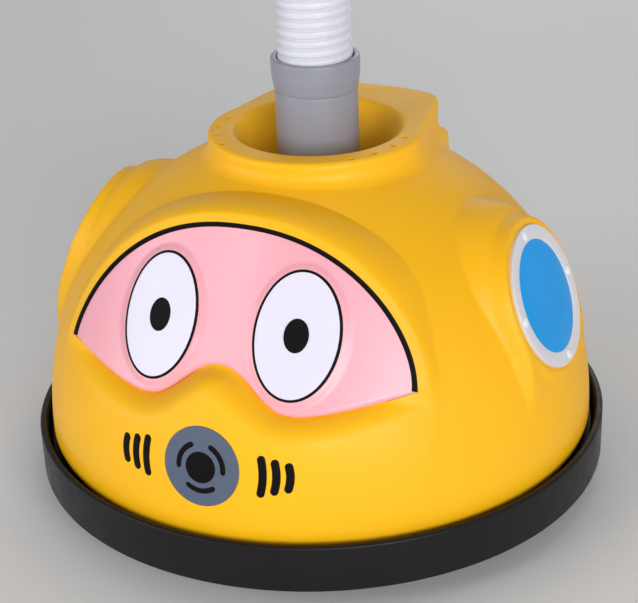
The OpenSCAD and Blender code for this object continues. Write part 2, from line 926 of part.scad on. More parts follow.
module lower_cuff() {
    color([0.58, 0.58, 0.61]) translate([0, swivel_y, 0]) rotate_extrude() polygon([
        [20.35, cuff_z], [cuff_r, cuff_z], [cuff_r, collar_step - 1.5], [collar_r, collar_step],
        [collar_r, cuff_top - 1.2], [collar_r - 1.2, cuff_top], [hose_r + 0.9, cuff_top],
        [hose_r, cuff_top - 1.5], [hose_r, hose_z], [hose_r - 3, hose_z], [hose_r - 3, 192], [20.35, 190]]);
}

// One ring of a straight sweep
function hoop(r, z, n) = [for (i = [0 : n - 1]) [r * cos(360 * i / n), swivel_y + r * sin(360 * i / n), z]];

// Straight tube swept through rings at the given heights
module sweep_up(r, heights, n = 12) {
    last = len(heights) - 1;
    polyhedron(
        points = [for (z = heights) each hoop(r, z, n)],
        faces = concat([[for (i = [0 : n - 1]) i]],
            [for (k = [0 : last - 1], i = [0 : n - 1])
                [k * n + i, (k + 1) * n + i, (k + 1) * n + (i + 1) % n, k * n + (i + 1) % n]],
            [[for (i = [n - 1 : -1 : 0]) last * n + i]]));
}

module hose() {
    color([0.90, 0.90, 0.92]) difference() {
        sweep_up(hose_r, [hose_z, hose_z + hose_len / 2, hose_z + hose_len]);
        sweep_up(hose_r - hose_wall, [hose_z - 1, hose_z + hose_len / 2, hose_z + hose_len + 1]);
    }
}

module upper_cuff() {
    color([0.58, 0.58, 0.61]) translate([0, swivel_y, 0]) rotate_extrude() polygon([
        [hose_r, upper_z], [collar_r - 1.2, upper_z], [collar_r, upper_z + 1.2], [collar_r, upper_z + 18],
        [cuff_r, upper_z + 19.5], [cuff_r, upper_top - 1], [cuff_r - 1, upper_top], [socket_r, upper_top],
        [socket_r, socket_z], [hose_r - hose_wall, socket_z], [hose_r - hose_wall, hose_z + hose_len],
        [hose_r, hose_z + hose_len]]);
}

// ---- trim weights and hood screws ----

module float_block() {
    color([0.94, 0.94, 0.90]) difference() {
        translate([-52, -88, 112]) cube([104, 40, 46]);
        difference() {
            mask_prism(6);
            panel_body(panel_t + hood_wall + 3);
        }
    }
}

module ballast_bars() {
    color([0.35, 0.35, 0.37]) for (s = [-1, 1])
        translate([-45, s * 78 - 17, plate_top]) cube([90, 34, 9]);
}

module hood_screws() {
    color("silver") for (a = [45 : 90 : 315]) rotate([0, 0, a]) translate([hood_post_r, 0, 0]) {
        translate([0, 0, plate_z]) cylinder(r = 2, h = 19);
        translate([0, 0, plate_z]) mirror([0, 0, 1]) screw_head(4, 2.6);
    }
}

hood();
bumper_ring();
mask_panel();
mask_trim();
eye_ovals();
pupils();
porthole_rings();
porthole_lenses();
porthole_rivets();
regulator_badge();
regulator_marks();
grille_bars();
base_plate();
throat();
turbine_housing_front();
turbine_housing_rear();
housing_screws();
turbine_wheel();
turbine_spindle();
spindle_bearings();
pinion_left();
pinion_right();
gear_axles();
gear_clips();
drive_gear_left();
drive_gear_right();
eccentric_bush_left();
eccentric_bush_right();
saddle_left();
saddle_right();
saddle_screws();
frame_axles();
a_frame_left();
a_frame_right();
pod_pin_left();
pod_pin_right();
pod_left();
pod_right();
shoe_left();
shoe_right();
flap_front();
flap_rear();
flap_rods();
steering_case();
steering_cover();
steering_screws();
steering_pin();
steering_turbine();
steering_gear();
cone_bushing();
cone_retainer();
cone_gear();
lower_cuff();
hose();
upper_cuff();
float_block();
ballast_bars();
hood_screws();
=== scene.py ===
"""Looks for the walking pool cleaner: domed hood, mask front, bumper, portholes, cuffs and ribbed hose."""
import json
import math

import bmesh
import bpy
import numpy as np
from mathutils import Matrix, Vector


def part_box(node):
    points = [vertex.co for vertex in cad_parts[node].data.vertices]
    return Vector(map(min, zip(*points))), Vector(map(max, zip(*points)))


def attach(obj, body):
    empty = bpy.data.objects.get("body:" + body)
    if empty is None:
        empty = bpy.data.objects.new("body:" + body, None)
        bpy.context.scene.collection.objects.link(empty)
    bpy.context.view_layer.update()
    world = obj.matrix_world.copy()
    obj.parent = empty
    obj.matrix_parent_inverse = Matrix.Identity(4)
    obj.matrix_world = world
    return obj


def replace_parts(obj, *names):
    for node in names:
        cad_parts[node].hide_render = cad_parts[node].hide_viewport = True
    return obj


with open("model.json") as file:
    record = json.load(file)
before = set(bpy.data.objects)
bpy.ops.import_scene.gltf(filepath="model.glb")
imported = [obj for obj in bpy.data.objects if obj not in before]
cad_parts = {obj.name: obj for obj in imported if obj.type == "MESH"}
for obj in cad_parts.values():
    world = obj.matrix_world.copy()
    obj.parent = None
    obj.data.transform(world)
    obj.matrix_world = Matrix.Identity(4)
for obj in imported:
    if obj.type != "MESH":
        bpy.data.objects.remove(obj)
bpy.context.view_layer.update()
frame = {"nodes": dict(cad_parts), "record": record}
MM = 0.001
TAU = 2 * math.pi

# Shape of the hood, in millimetres, the same values as in the CAD
HOOD_R = 160.0
HEM_Z = 32.0
DOME_Z = 40.0
DOME_H = 167.0
DOME_POWER = 2.15
SWIVEL_Y = 10.0
WALL = 3.5

# Collar: round in front about (0, COLLAR_Y), cornered behind, with a low step at its rear foot
RIM_Z = 209.0
RIM_ROUND = 3.0
COLLAR_R = 62.0
COLLAR_Y = 8.5
COLLAR_REAR = [(48.5, 79), (40, 85), (20, 89), (-20, 89), (-40, 85), (-48.5, 79)]
COLLAR_FILLET = 8.0
FILLET_SHARE = 0.66
COLLAR_APRON = 24.0
STEP_Z = 186.0
STEP_FALL = 60.0
STEP_BLEND = 6.0

# Small blind holes in the rim, on a ring about (0, RIM_HOLE_Y), at these angles from the front on both sides
RIM_HOLE_RING = 54.5
RIM_HOLE_Y = 4.0
RIM_HOLE_R = 1.9
RIM_HOLE_DEPTH = 2.6
RIM_HOLE_DEGREES = (45, 60.5, 76, 91.5)

# Crater: radius inside its soft lip, and its floor
CRATER_R = 47.0
CRATER_LIP = 4.5
CRATER_FLOOR_Z = 165.0
CRATER_FLOOR_R = 31.0

# The mask panel leans back and curves across the front.
# Its lobes stand a little further apart than in the CAD.
MASK_ORIGIN = np.array([0.0, -120.0, 140.0])
MASK_LEAN = math.radians(30)
MASK_CURVE = 215.0
MASK_HALF = 101.0
MASK_TOP = 56.0
MASK_NOTCH = -18.0
MASK_LOBE = -38.3
MASK_CORNER = -15.0
MASK_TOP_POWER = 2.25
MASK_TOP_ROUND = 0.62
MASK_RISE_POWER = 1.35
LOBE_SHARE = 0.44
LOBE_FOOT = 0.05
NOTCH_SHARE = 0.01
PANEL_T = 3.0
PINK_T = 2.7
PINK_EDGE = 2.4

# Round the mask: a ledge under the brow, a hollow below the lower edge, a faint fold beside each corner
BROW_PROUD = 1.4
LEDGE_FLAT = 5.0
LEDGE_AT_CORNER = 9.5
LEDGE_WIDER_ON_TOP = 11.0
SCOOP = 3.3
HOLLOW_REACH = 17.0
CREASE = 1.1
CREASE_X = (109, 114)

# Eyes on the panel: low mounds with a white oval and a centred pupil, and the dark line above them
EYE_CENTRE = (39.4, 3.2)
EYE_RX = 22.7
EYE_RZ = 34.2
EYE_MOUND = 1.5
EYE_T = 0.55
PUPIL_RX = 6.5
PUPIL_RZ = 9.0
PUPIL_T = 0.95
TRIM_W = 2.1
TRIM_WIDER = 0.5

# A porthole's own frame: centre, outward normal, upward and sideways directions
PORT_TILT = math.radians(22)
PORT_CENTRE = np.array([140.0, -6.0, 130.5])
PORT_R = 40.0
LENS_R = 32.0
RIVET_R = 3.0
RIVET_H = 1.2
RIVET_Z = 0.85
PORT_YAW = math.atan2(PORT_CENTRE[1], PORT_CENTRE[0])
PORT_OUT = np.array([math.cos(PORT_TILT) * math.cos(PORT_YAW),
                     math.cos(PORT_TILT) * math.sin(PORT_YAW),
                     math.sin(PORT_TILT)])
PORT_UP = np.array([-math.sin(PORT_TILT) * math.cos(PORT_YAW),
                    -math.sin(PORT_TILT) * math.sin(PORT_YAW),
                    math.cos(PORT_TILT)])
PORT_SIDE = np.cross(PORT_OUT, PORT_UP)

# Round a porthole: an outer arched shoulder, an inner plateau and the flat seat of the ring
SHOULDER_UP = 10.0
SHOULDER_H = 53.0
SHOULDER_W = 49.0
SHOULDER_RISE = 1.7
SHOULDER_RISE_ON_TOP = 9.6
PLATEAU_UP = 4.0
PLATEAU_H = 43.5
PLATEAU_FRONT_W = 46.8
PLATEAU_REAR_W = 43.2
SEAT_DEPTH = 0.8
SEAT_R = 42.0
SEAT_BLEND_R = 45.5

# Marks on the front: the badge, its hub and strokes, and bars that get shorter away from it
BADGE_Z = 78.0
BADGE_R = 21.5
BADGE_HUB_R = 8.5
BADGE_ARC_R = 12.7
BADGE_ARC_W = 3.5
BAR_X = 33
BAR_PITCH = 7
BAR_Z = 77
BAR_HALF = 11.2
BAR_SHORTER = 1.6
BAR_BOW = 1.6
BAR_W = 4.3
PATCH_EDGE = 0.7
PATCH_SUNK = 0.6

# Bumper, cuffs and hose: their ends come from the frame; the cuffs leave the hose a little play
BUMPER_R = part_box("bumper_ring")[1].x / MM
BUMPER_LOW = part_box("bumper_ring")[0].z / MM
BUMPER_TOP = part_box("bumper_ring")[1].z / MM
CUFF_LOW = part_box("lower_cuff")[0].z / MM
CUFF_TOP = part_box("lower_cuff")[1].z / MM
HOSE_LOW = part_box("hose")[0].z / MM
HOSE_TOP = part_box("hose")[1].z / MM
HOSE_R = 21.0
HOSE_BORE_R = 18.0
HOSE_SEAT_R = 21.25
CONE_SEAT_R = 20.35
CONE_SEAT_Z = 190.0
CUFF_R = 23.5
SOCKET_R = 20.6
SOCKET_DEPTH = 34
UPPER_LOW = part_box("upper_cuff")[0].z / MM
UPPER_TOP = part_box("upper_cuff")[1].z / MM


# ---- mesh helpers ----

def smoothstep(a, b, x):
    t = np.clip((np.asarray(x, float) - a) / (b - a), 0, 1)
    return t * t * (3 - 2 * t)


def soft_max(a, b, k):
    return 0.5 * (a + b + np.sqrt((a - b) ** 2 + k * k))


def mix(a, b, t):
    return a + (b - a) * t


def new_piece(name, points, faces, body, slot, sharp=35):
    """A mesh piece from points in millimetres; it rides on a body and takes its finish from a slot."""
    obj = raw_object(name, points, faces)
    finish_piece(obj, body, slot, sharp)
    return obj


def raw_object(name, points, faces):
    """A closed mesh from points in millimetres, its faces turned outward."""
    mesh = bpy.data.meshes.new(name)
    mesh.from_pydata((np.asarray(points, float) * MM).tolist(), [], faces)
    work = bmesh.new()
    work.from_mesh(mesh)
    bmesh.ops.recalc_face_normals(work, faces=work.faces)
    work.to_mesh(mesh)
    work.free()
    obj = bpy.data.objects.new(name, mesh)
    bpy.context.scene.collection.objects.link(obj)
    return obj


def finish_piece(obj, body, slot, sharp=35):
    """Smooth shading up to the sharp angle, the slot's material, and a place on a body."""
    mesh = obj.data
    mesh.shade_smooth()
    mesh.set_sharp_from_angle(angle=math.radians(sharp))
    mesh.materials.clear()
    mesh.materials.append(MATERIALS[slot])
    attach(obj, body)


def grid_faces(rows, cols, wrap_rows, wrap_cols=True, start=0):
    """Quads of a grid of rows by cols points, wrapped round either way."""
    r = np.arange(rows if wrap_rows else rows - 1)
    c = np.arange(cols if wrap_cols else cols - 1)
    r0, c0 = np.meshgrid(r, c, indexing="ij")
    r1 = (r0 + 1) % rows
    c1 = (c0 + 1) % cols
    quads = np.stack([r0 * cols + c0, r0 * cols + c1, r1 * cols + c1, r1 * cols + c0], -1)
    return (quads.reshape(-1, 4) + start).tolist()


def revolve(name, profile, body, slot, centre_y=0.0, segments=240, sharp=35):
    """A closed profile of (radius, height) points turned about the vertical through (0, centre_y)."""
    profile = np.asarray(profile, float)
    a = np.arange(segments) * TAU / segments
    r = profile[:, 0][:, None]
    z = np.repeat(profile[:, 1][:, None], segments, 1)
    points = np.stack([r * np.cos(a), centre_y + r * np.sin(a), z], -1)
    faces = grid_faces(len(profile), segments, True)
    return new_piece(name, points.reshape(-1, 3), faces, body, slot, sharp)


def rounded(corners, arc=6):
    """A closed outline from (x, y, radius) corners, each replaced by an arc."""
    out = []
    n = len(corners)
    for i in range(n):
        p = np.array(corners[i][:2], float)
        radius = corners[i][2]
        if radius <= 0:
            out.append(p)
            continue
        before = np.array(corners[i - 1][:2], float) - p
        after = np.array(corners[(i + 1) % n][:2], float) - p
        before /= np.linalg.norm(before)
        after /= np.linalg.norm(after)
        half = math.acos(float(np.clip(before @ after, -1, 1))) / 2
        reach = radius / math.tan(half)
        centre = p + (before + after) / np.linalg.norm(before + after) * radius / math.sin(half)
        first = p + before * reach - centre
        last = p + after * reach - centre
        turn = math.atan2(first[0] * last[1] - first[1] * last[0], float(first @ last))
        for k in range(arc + 1):
            t = turn * k / arc
            x = first[0] * math.cos(t) - first[1] * math.sin(t)
            y = first[0] * math.sin(t) + first[1] * math.cos(t)
            out.append(centre + np.array([x, y]))
    return np.array(out)


def dome_cap(name, radius, height, rings=7, around=32, sunk=0.3):
    """A low round button standing on z = 0, closed a little below it."""
    t = np.linspace(math.pi / 2, 0.02, rings)
    r = radius * np.sin(t)
    z = height * np.cos(t)
    a = np.arange(around) * TAU / around
    points = [(rr * math.cos(x), rr * math.sin(x), zz) for rr, zz in zip(r, z) for x in a]
    points += [(0, 0, height), (0, 0, -sunk)]
    points += [(radius * math.cos(x), radius * math.sin(x), -sunk) for x in a]
    inner = (rings - 1) * around
    crown = rings * around
    middle = crown + 1
    skirt = crown + 2
    faces = grid_faces(rings, around, False)
    for i in range(around):
        faces.append((inner + i, inner + (i + 1) % around, crown))
    for i in range(around):
        faces.append((skirt + i, skirt + (i + 1) % around, (i + 1) % around, i))
    for i in range(around):
        faces.append((skirt + (i + 1) % around, skirt + i, middle))
    mesh = bpy.data.meshes.new(name)
    mesh.from_pydata([(x * MM, y * MM, zz * MM) for x, y, zz in points], [], faces)
    mesh.validate()
    obj = bpy.data.objects.new(name, mesh)
    bpy.context.scene.collection.objects.link(obj)
    return obj


# ---- materials ----

def srgb(r, g, b):
    """Linear colour of an sRGB one given as 0 to 255."""
    def one(v):
        v /= 255
        return v / 12.92 if v <= 0.04045 else ((v + 0.055) / 1.055) ** 2.4
    return (one(r), one(g), one(b), 1.0)


def noise_node(tree, coords, scale, detail):
    node = tree.nodes.new("ShaderNodeTexNoise")
    node.inputs["Scale"].default_value = scale
    node.inputs["Detail"].default_value = detail
    tree.links.new(coords.outputs["Object"], node.inputs["Vector"])
    return node


def spread(tree, source, low, high):
    """Maps a noise value to the range low to high."""
    node = tree.nodes.new("ShaderNodeMapRange")
    node.inputs["From Min"].default_value = 0.3
    node.inputs["From Max"].default_value = 0.7
    node.inputs["To Min"].default_value = low
    node.inputs["To Max"].default_value = high
    tree.links.new(source.outputs["Fac"], node.inputs["Value"])
    return node


GLOSS_SPREAD = 0.05


def make_material(name, colour, rough, tint, blotch, grain, bump, coat=0.0, metallic=0.0, specular=0.5):
    """Moulded plastic, rubber or metal: soft colour variation, uneven gloss and a fine grain."""
    material = bpy.data.materials.new(name)
    material.use_nodes = True
    tree = material.node_tree
    shader = tree.nodes["Principled BSDF"]
    shader.inputs["Metallic"].default_value = metallic
    shader.inputs["Coat Weight"].default_value = coat
    shader.inputs["Coat Roughness"].default_value = 0.25
    shader.inputs["Specular IOR Level"].default_value = specular
    coords = tree.nodes.new("ShaderNodeTexCoord")
    patches = noise_node(tree, coords, blotch, 4.0)
    blend = tree.nodes.new("ShaderNodeMix")
    blend.data_type = "RGBA"
    colour_ins = [s for s in blend.inputs if s.type == "RGBA"]
    colour_ins[0].default_value = tuple(c * (1 - tint) for c in colour[:3]) + (1.0,)
    colour_ins[1].default_value = tuple(min(1.0, c * (1 + tint)) for c in colour[:3]) + (1.0,)
    fac = spread(tree, patches, 0.0, 1.0)
    tree.links.new(fac.outputs["Result"], blend.inputs["Factor"])
    tree.links.new([s for s in blend.outputs if s.type == "RGBA"][0], shader.inputs["Base Color"])
    smudges = noise_node(tree, coords, blotch * 5, 2.0)
    gloss = spread(tree, smudges, rough - GLOSS_SPREAD, rough + GLOSS_SPREAD)
    tree.links.new(gloss.outputs["Result"], shader.inputs["Roughness"])
    height = tree.nodes.new("ShaderNodeBump")
    height.inputs["Strength"].default_value = bump
    height.inputs["Distance"].default_value = 0.0004
    tree.links.new(noise_node(tree, coords, grain, 2.0).outputs["Fac"], height.inputs["Height"])
    tree.links.new(height.outputs["Normal"], shader.inputs["Normal"])
    return material


# Each slot's sRGB colour; its roughness, colour variation, blotch scale, grain scale and bump strength;
# and what else differs from plain plastic
FINISHES = {
    "hood_shell": ((255, 190, 14), (0.46, 0.03, 9, 700, 0.06), {"specular": 0.36}),
    "bumper_rubber": ((20, 18, 21), (0.42, 0.12, 20, 500, 0.12), {"specular": 0.25}),
    "mask_pink": ((246, 172, 187), (0.34, 0.02, 12, 800, 0.05), {"coat": 0.35}),
    "print_black": ((10, 6, 9), (0.55, 0.15, 60, 1400, 0.2), {"specular": 0.12}),
    "eye_white": ((230, 227, 247), (0.35, 0.012, 15, 900, 0.04), {"coat": 0.2}),
    "port_ring": ((222, 222, 230), (0.36, 0.02, 25, 900, 0.06), {}),
    "port_blue": ((0, 158, 240), (0.34, 0.03, 18, 900, 0.04), {"specular": 0.25}),
    "rivet_pale": ((236, 238, 246), (0.25, 0.02, 60, 900, 0.04), {"coat": 0.3}),
    "badge_grey": ((82, 94, 116), (0.45, 0.06, 60, 1600, 0.25), {}),
    "base_plastic": ((48, 50, 56), (0.5, 0.08, 20, 600, 0.2), {}),
    "housing_plastic": ((66, 70, 78), (0.48, 0.08, 25, 600, 0.2), {}),
    "steel": ((186, 186, 190), (0.28, 0.06, 60, 1200, 0.15), {"metallic": 1.0}),
    "vane_plastic": ((214, 212, 196), (0.42, 0.04, 30, 700, 0.12), {}),
    "bearing_plastic": ((190, 168, 120), (0.4, 0.06, 40, 700, 0.15), {}),
    "gear_plastic": ((230, 226, 212), (0.4, 0.04, 40, 700, 0.12), {}),
    "frame_plastic": ((216, 216, 222), (0.42, 0.04, 30, 700, 0.12), {}),
    "pod_plastic": ((76, 82, 96), (0.48, 0.08, 25, 600, 0.2), {}),
    "sole_rubber": ((40, 40, 42), (0.75, 0.15, 40, 400, 0.5), {"specular": 0.3}),
    "flap_rubber": ((44, 46, 50), (0.6, 0.12, 30, 400, 0.35), {"specular": 0.35}),
    "cuff_grey": ((146, 149, 163), (0.34, 0.035, 30, 500, 0.08), {"coat": 0.1}),
    "hose_white": ((218, 220, 232), (0.36, 0.012, 30, 600, 0.06), {"coat": 0.1}),
    "cone_white": ((230, 230, 234), (0.42, 0.03, 30, 600, 0.1), {}),
    "float_foam": ((236, 234, 224), (0.85, 0.05, 60, 260, 0.9), {"specular": 0.2}),
    "ballast_iron": ((84, 84, 88), (0.6, 0.15, 40, 180, 0.7), {"metallic": 0.6}),
}
MATERIALS = {slot: make_material(slot, srgb(*colour), *numbers, **more)
             for slot, (colour, numbers, more) in FINISHES.items()}


def paint_nodes():
    """Gives every CAD node that stays in sight the material of its slot."""
    for part in frame["record"]["subparts"]:
        obj = frame["nodes"][part["node"]]
        material = MATERIALS[part["material_slot"]]
        for holder in obj.material_slots:
            holder.link = "OBJECT"
            holder.material = material
        if not obj.material_slots:
            obj.data.materials.append(material)


# ---- camera, light and floor ----

CAMERA_AT = Vector((0.3694, -0.8312, 0.5367))
CAMERA_AIM = Vector((0.00092, 0.00041, 0.1024))
CAMERA_ROLL = math.radians(2.185)
CAMERA_LENS = 96.69
FLOOR_HALF = 12.0
FLOOR_DROP = 0.0005


def aimed(place, aim):
    """Matrix of a thing at place whose -Z axis looks at aim."""
    return Matrix.Translation(place) @ (aim - place).to_track_quat("-Z", "Y").to_matrix().to_4x4()


def place_camera():
    """The camera of the photograph, fitted to the bumper, the cuff and the crater's rim."""
    data = bpy.data.cameras.new("camera")
    data.lens = CAMERA_LENS
    data.sensor_width = 36.0
    data.clip_start = 0.02
    camera = bpy.data.objects.new("camera", data)
    bpy.context.scene.collection.objects.link(camera)
    camera.matrix_world = aimed(CAMERA_AT, CAMERA_AIM) @ Matrix.Rotation(-CAMERA_ROLL, 4, "Z")
    bpy.context.scene.camera = camera


def area_light(name, place, aim, size, power, colour=(1, 1, 1)):
    data = bpy.data.lights.new(name, "AREA")
    data.shape = "RECTANGLE"
    data.size, data.size_y = size
    data.energy = power
    data.color = colour
    lamp = bpy.data.objects.new(name, data)
    bpy.context.scene.collection.objects.link(lamp)
    lamp.matrix_world = aimed(Vector(place), Vector(aim))


def light_world():
    """A soft pale surround, brighter low down than overhead."""
    world = bpy.data.worlds.new("studio")
    world.use_nodes = True
    tree = world.node_tree
    coords = tree.nodes.new("ShaderNodeTexCoord")
    split = tree.nodes.new("ShaderNodeSeparateXYZ")
    tree.links.new(coords.outputs["Generated"], split.inputs["Vector"])
    sky = tree.nodes.new("ShaderNodeMapRange")
    sky.inputs["From Min"].default_value = 0.0
    sky.inputs["From Max"].default_value = 0.9
    sky.inputs["To Min"].default_value = 0.66
    sky.inputs["To Max"].default_value = 0.16
    tree.links.new(split.outputs["Z"], sky.inputs["Value"])
    tree.links.new(sky.outputs["Result"], tree.nodes["Background"].inputs["Strength"])
    tree.nodes["Background"].inputs["Color"].default_value = (1.0, 0.98, 0.96, 1)
    bpy.context.scene.world = world


def light_studio():
    """Large low lamps far in front, so that the light comes in from the front as in the photograph."""
    light_world()
    bpy.context.scene.view_settings.view_transform = "Standard"
    area_light("key", (2.4, -3.0, 1.15), (0, 0, 0.1), (2.8, 1.6), 96, (1, 0.98, 0.95))
    area_light("fill", (-2.6, -2.4, 0.95), (0, 0, 0.1), (2.4, 1.6), 30, (1, 0.99, 0.98))
    area_light("accent", (-0.73, -1.57, 1.1), (0, -0.12, 0.12), (0.45, 0.45), 2.2)
    area_light("top", (0.2, 0.3, 1.7), (0, 0, 0.1), (1.0, 1.0), 2)
    area_light("back", (-0.3, 1.6, 0.8), (0, 0, 0.15), (1.0, 0.7), 2.5)


def make_floor():
    """A wide pale floor, a hair below the shoes."""
    material = make_material("floor_paint", srgb(240, 242, 245), 0.7, 0.01, 3, 200, 0.02, specular=0.2)
    mesh = bpy.data.meshes.new("floor")
    corners = [(-FLOOR_HALF, -FLOOR_HALF, 0), (FLOOR_HALF, -FLOOR_HALF, 0),
               (FLOOR_HALF, FLOOR_HALF, 0), (-FLOOR_HALF, FLOOR_HALF, 0)]
    mesh.from_pydata(corners, [], [(0, 1, 2, 3)])
    mesh.materials.append(material)
    floor = bpy.data.objects.new("floor", mesh)
    bpy.context.scene.collection.objects.link(floor)
    floor.location.z = -FLOOR_DROP


# ---- hose and cuffs ----

RIB_PITCH = 5.4
RIB_DEPTH = 1.9
RIB_CREST = 0.2
ROWS_PER_RIB = 15
LINING_STEP = 6


def make_hose():
    """Ribbed hose: one helical rib wound up a straight tube from cuff to cuff."""
    around = 96
    rows = int((HOSE_TOP - HOSE_LOW) / RIB_PITCH * ROWS_PER_RIB)
    z = np.linspace(HOSE_LOW, HOSE_TOP, rows)[:, None]
    a = (np.arange(around) * TAU / around)[None, :]
    phase = (z - HOSE_LOW) / RIB_PITCH - a / TAU
    from_groove = phase - np.round(phase)
    groove = 0.84 * np.exp(-(from_groove / 0.12) ** 2) + 0.08 * (1 + np.cos(TAU * from_groove))
    radius = HOSE_R + RIB_CREST - RIB_DEPTH * groove
    outer = np.stack([radius * np.cos(a), SWIVEL_Y + radius * np.sin(a), z + 0 * a], -1)
    z_in = z[::LINING_STEP] + 0 * a
    bore = HOSE_BORE_R + 0 * z_in
    inner = np.stack([bore * np.cos(a), SWIVEL_Y + bore * np.sin(a), z_in], -1)[::-1]
    inner[0, :, 2] = HOSE_TOP
    inner[-1, :, 2] = HOSE_LOW
    points = np.concatenate([outer, inner]).reshape(-1, 3)
    faces = grid_faces(len(outer) + len(inner), around, True)
    hose = new_piece("hose_ribbed", points, faces, "swivel", "hose_white", 60)
    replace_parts(hose, "hose")
    upper = make_upper_cuff()


def make_upper_cuff():
    """Grey connector cuff with a collar below and the socket for the next hose section above."""
    socket_z = UPPER_TOP - SOCKET_DEPTH
    profile = rounded([
        (HOSE_SEAT_R, UPPER_LOW, 0.6), (24.8, UPPER_LOW, 1.2), (25.2, UPPER_LOW + 18, 0.8),
        (CUFF_R, UPPER_LOW + 19.5, 0.8), (CUFF_R, UPPER_TOP, 0.9), (SOCKET_R, UPPER_TOP, 0.8),
        (SOCKET_R, socket_z, 0.5), (HOSE_BORE_R, socket_z, 0.4), (HOSE_BORE_R, HOSE_TOP, 0.4),
        (HOSE_SEAT_R, HOSE_TOP, 0.3)])
    cuff = revolve("upper_cuff_moulded", profile, "swivel", "cuff_grey", SWIVEL_Y, 144)
    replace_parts(cuff, "upper_cuff")
    return cuff


def make_lower_cuff():
    """Grey cuff with its wider collar, a moulding line and a small gate mark in front."""
    step_z = CUFF_TOP - 14
    line_z = step_z - 5.0
    profile = rounded([
        (CONE_SEAT_R, CUFF_LOW, 0.4), (CUFF_R - 0.2, CUFF_LOW, 0.8), (CUFF_R, line_z - 0.5, 0.3),
        (CUFF_R - 0.22, line_z, 0.2), (CUFF_R, line_z + 0.5, 0.3), (23.75, step_z - 4.0, 6.0),
        (24.85, step_z + 3.0, 6.0), (25.15, CUFF_TOP, 1.3), (21.9, CUFF_TOP, 0.9), (21.3, CUFF_TOP - 3, 1.0),
        (HOSE_SEAT_R, HOSE_LOW, 0.3), (HOSE_BORE_R, HOSE_LOW, 0.3), (HOSE_BORE_R, CONE_SEAT_Z + 2, 0.3),
        (CONE_SEAT_R, CONE_SEAT_Z, 0.3)])
    cuff = revolve("lower_cuff_moulded", profile, "swivel", "cuff_grey", SWIVEL_Y, 192)
    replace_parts(cuff, "lower_cuff")
    mark = dome_cap("lower_cuff_gate_mark", 1.5, 0.55)
    turn = math.radians(-90 + 15.6)
    reach = CUFF_R - 0.05
    y = SWIVEL_Y + math.sin(turn) * reach
    place = Vector((math.cos(turn) * reach * MM, y * MM, (line_z - 8.5) * MM))
    outward = Vector((math.cos(turn), math.sin(turn), 0)).to_track_quat("Z", "Y").to_matrix().to_4x4()
    mark.matrix_world = Matrix.Translation(place) @ outward
    finish_piece(mark, "swivel", "cuff_grey")


# ---- mask outline ----

def mask_upper(u):
    """Height of the mask's upper edge; u runs from -1 to 1 across its width."""
    return MASK_CORNER + (MASK_TOP - MASK_CORNER) * (1 - np.abs(u) ** MASK_TOP_POWER) ** MASK_TOP_ROUND


def mask_lower(u):
    """Height of the lower edge: a notch over the nose, a lobe each side, then up to the corners."""
    a = np.abs(u)
    fall = np.clip((a - NOTCH_SHARE) / (LOBE_SHARE - LOBE_FOOT - NOTCH_SHARE), 0, 1)
    lobe = (MASK_NOTCH + MASK_LOBE) / 2 + (MASK_NOTCH - MASK_LOBE) / 2 * np.cos(math.pi * fall)
    rest = np.clip((a - LOBE_SHARE) / (1 - LOBE_SHARE), 0, 1)
    return np.where(a < LOBE_SHARE, lobe, MASK_LOBE + (MASK_CORNER - MASK_LOBE) * rest ** MASK_RISE_POWER)


def mask_outline(count=160):
    """Closed outline of the mask in its own x and z, from the left corner over the top and back below."""
    top = np.sin(np.linspace(-math.pi / 2, math.pi / 2, count))
    low = np.linspace(1, -1, count)[1:-1]
    upper = np.stack([MASK_HALF * top, mask_upper(top)], -1)
    lower = np.stack([MASK_HALF * low, mask_lower(low)], -1)
    return np.concatenate([upper, lower])


OUTLINE = mask_outline()


def outline_distance(x, z):
    """Signed distance from the mask's outline, positive outside."""
    p = np.stack([np.ravel(x), np.ravel(z)], -1)
    best = np.full(len(p), 1e9)
    inside = np.zeros(len(p), bool)
    for a, b in zip(OUTLINE, np.roll(OUTLINE, -1, 0)):
        ab = b - a
        t = np.clip(((p - a) @ ab) / (ab @ ab), 0, 1)
        gap = p - a - t[:, None] * ab
        best = np.minimum(best, (gap * gap).sum(1))
        crosses = (a[1] > p[:, 1]) != (b[1] > p[:, 1])
        if abs(ab[1]) > 1e-9:
            inside ^= crosses & (p[:, 0] < a[0] + (p[:, 1] - a[1]) * ab[0] / ab[1])
    return (np.sqrt(best) * np.where(inside, -1, 1)).reshape(np.shape(x))


def to_mask(points):
    """Object millimetres to the panel's own x, y, z; -y points out of the mask."""
    p = points - MASK_ORIGIN
    c, s = math.cos(MASK_LEAN), math.sin(MASK_LEAN)
    return np.stack([p[..., 0], p[..., 1] * c - p[..., 2] * s, p[..., 1] * s + p[..., 2] * c], -1)


def from_mask(x, y, z):
    """The panel's own x, y, z back to object millimetres."""
    c, s = math.cos(MASK_LEAN), math.sin(MASK_LEAN)
    return np.stack([x, y * c + z * s, -y * s + z * c], -1) + MASK_ORIGIN


def panel_y(x):
    """Depth of the panel's plain face, which bends back towards its sides."""
    return MASK_CURVE - np.sqrt(MASK_CURVE ** 2 - np.clip(np.abs(x), 0, 200) ** 2)


# ---- hood ----

AROUND = 720


def dome_radius(z, grow=0.0):
    """Radius of the plain dome at a height; below its widest ring it tucks in towards the hem."""
    z = np.asarray(z, float)
    upper = np.clip((z - DOME_Z) / (DOME_H + grow), 0, 1)
    tuck = 5 * ((DOME_Z - np.minimum(z, DOME_Z)) / (DOME_Z - HEM_Z)) ** 2
    return (HOOD_R + grow) * np.sqrt(1 - upper ** DOME_POWER) - tuck


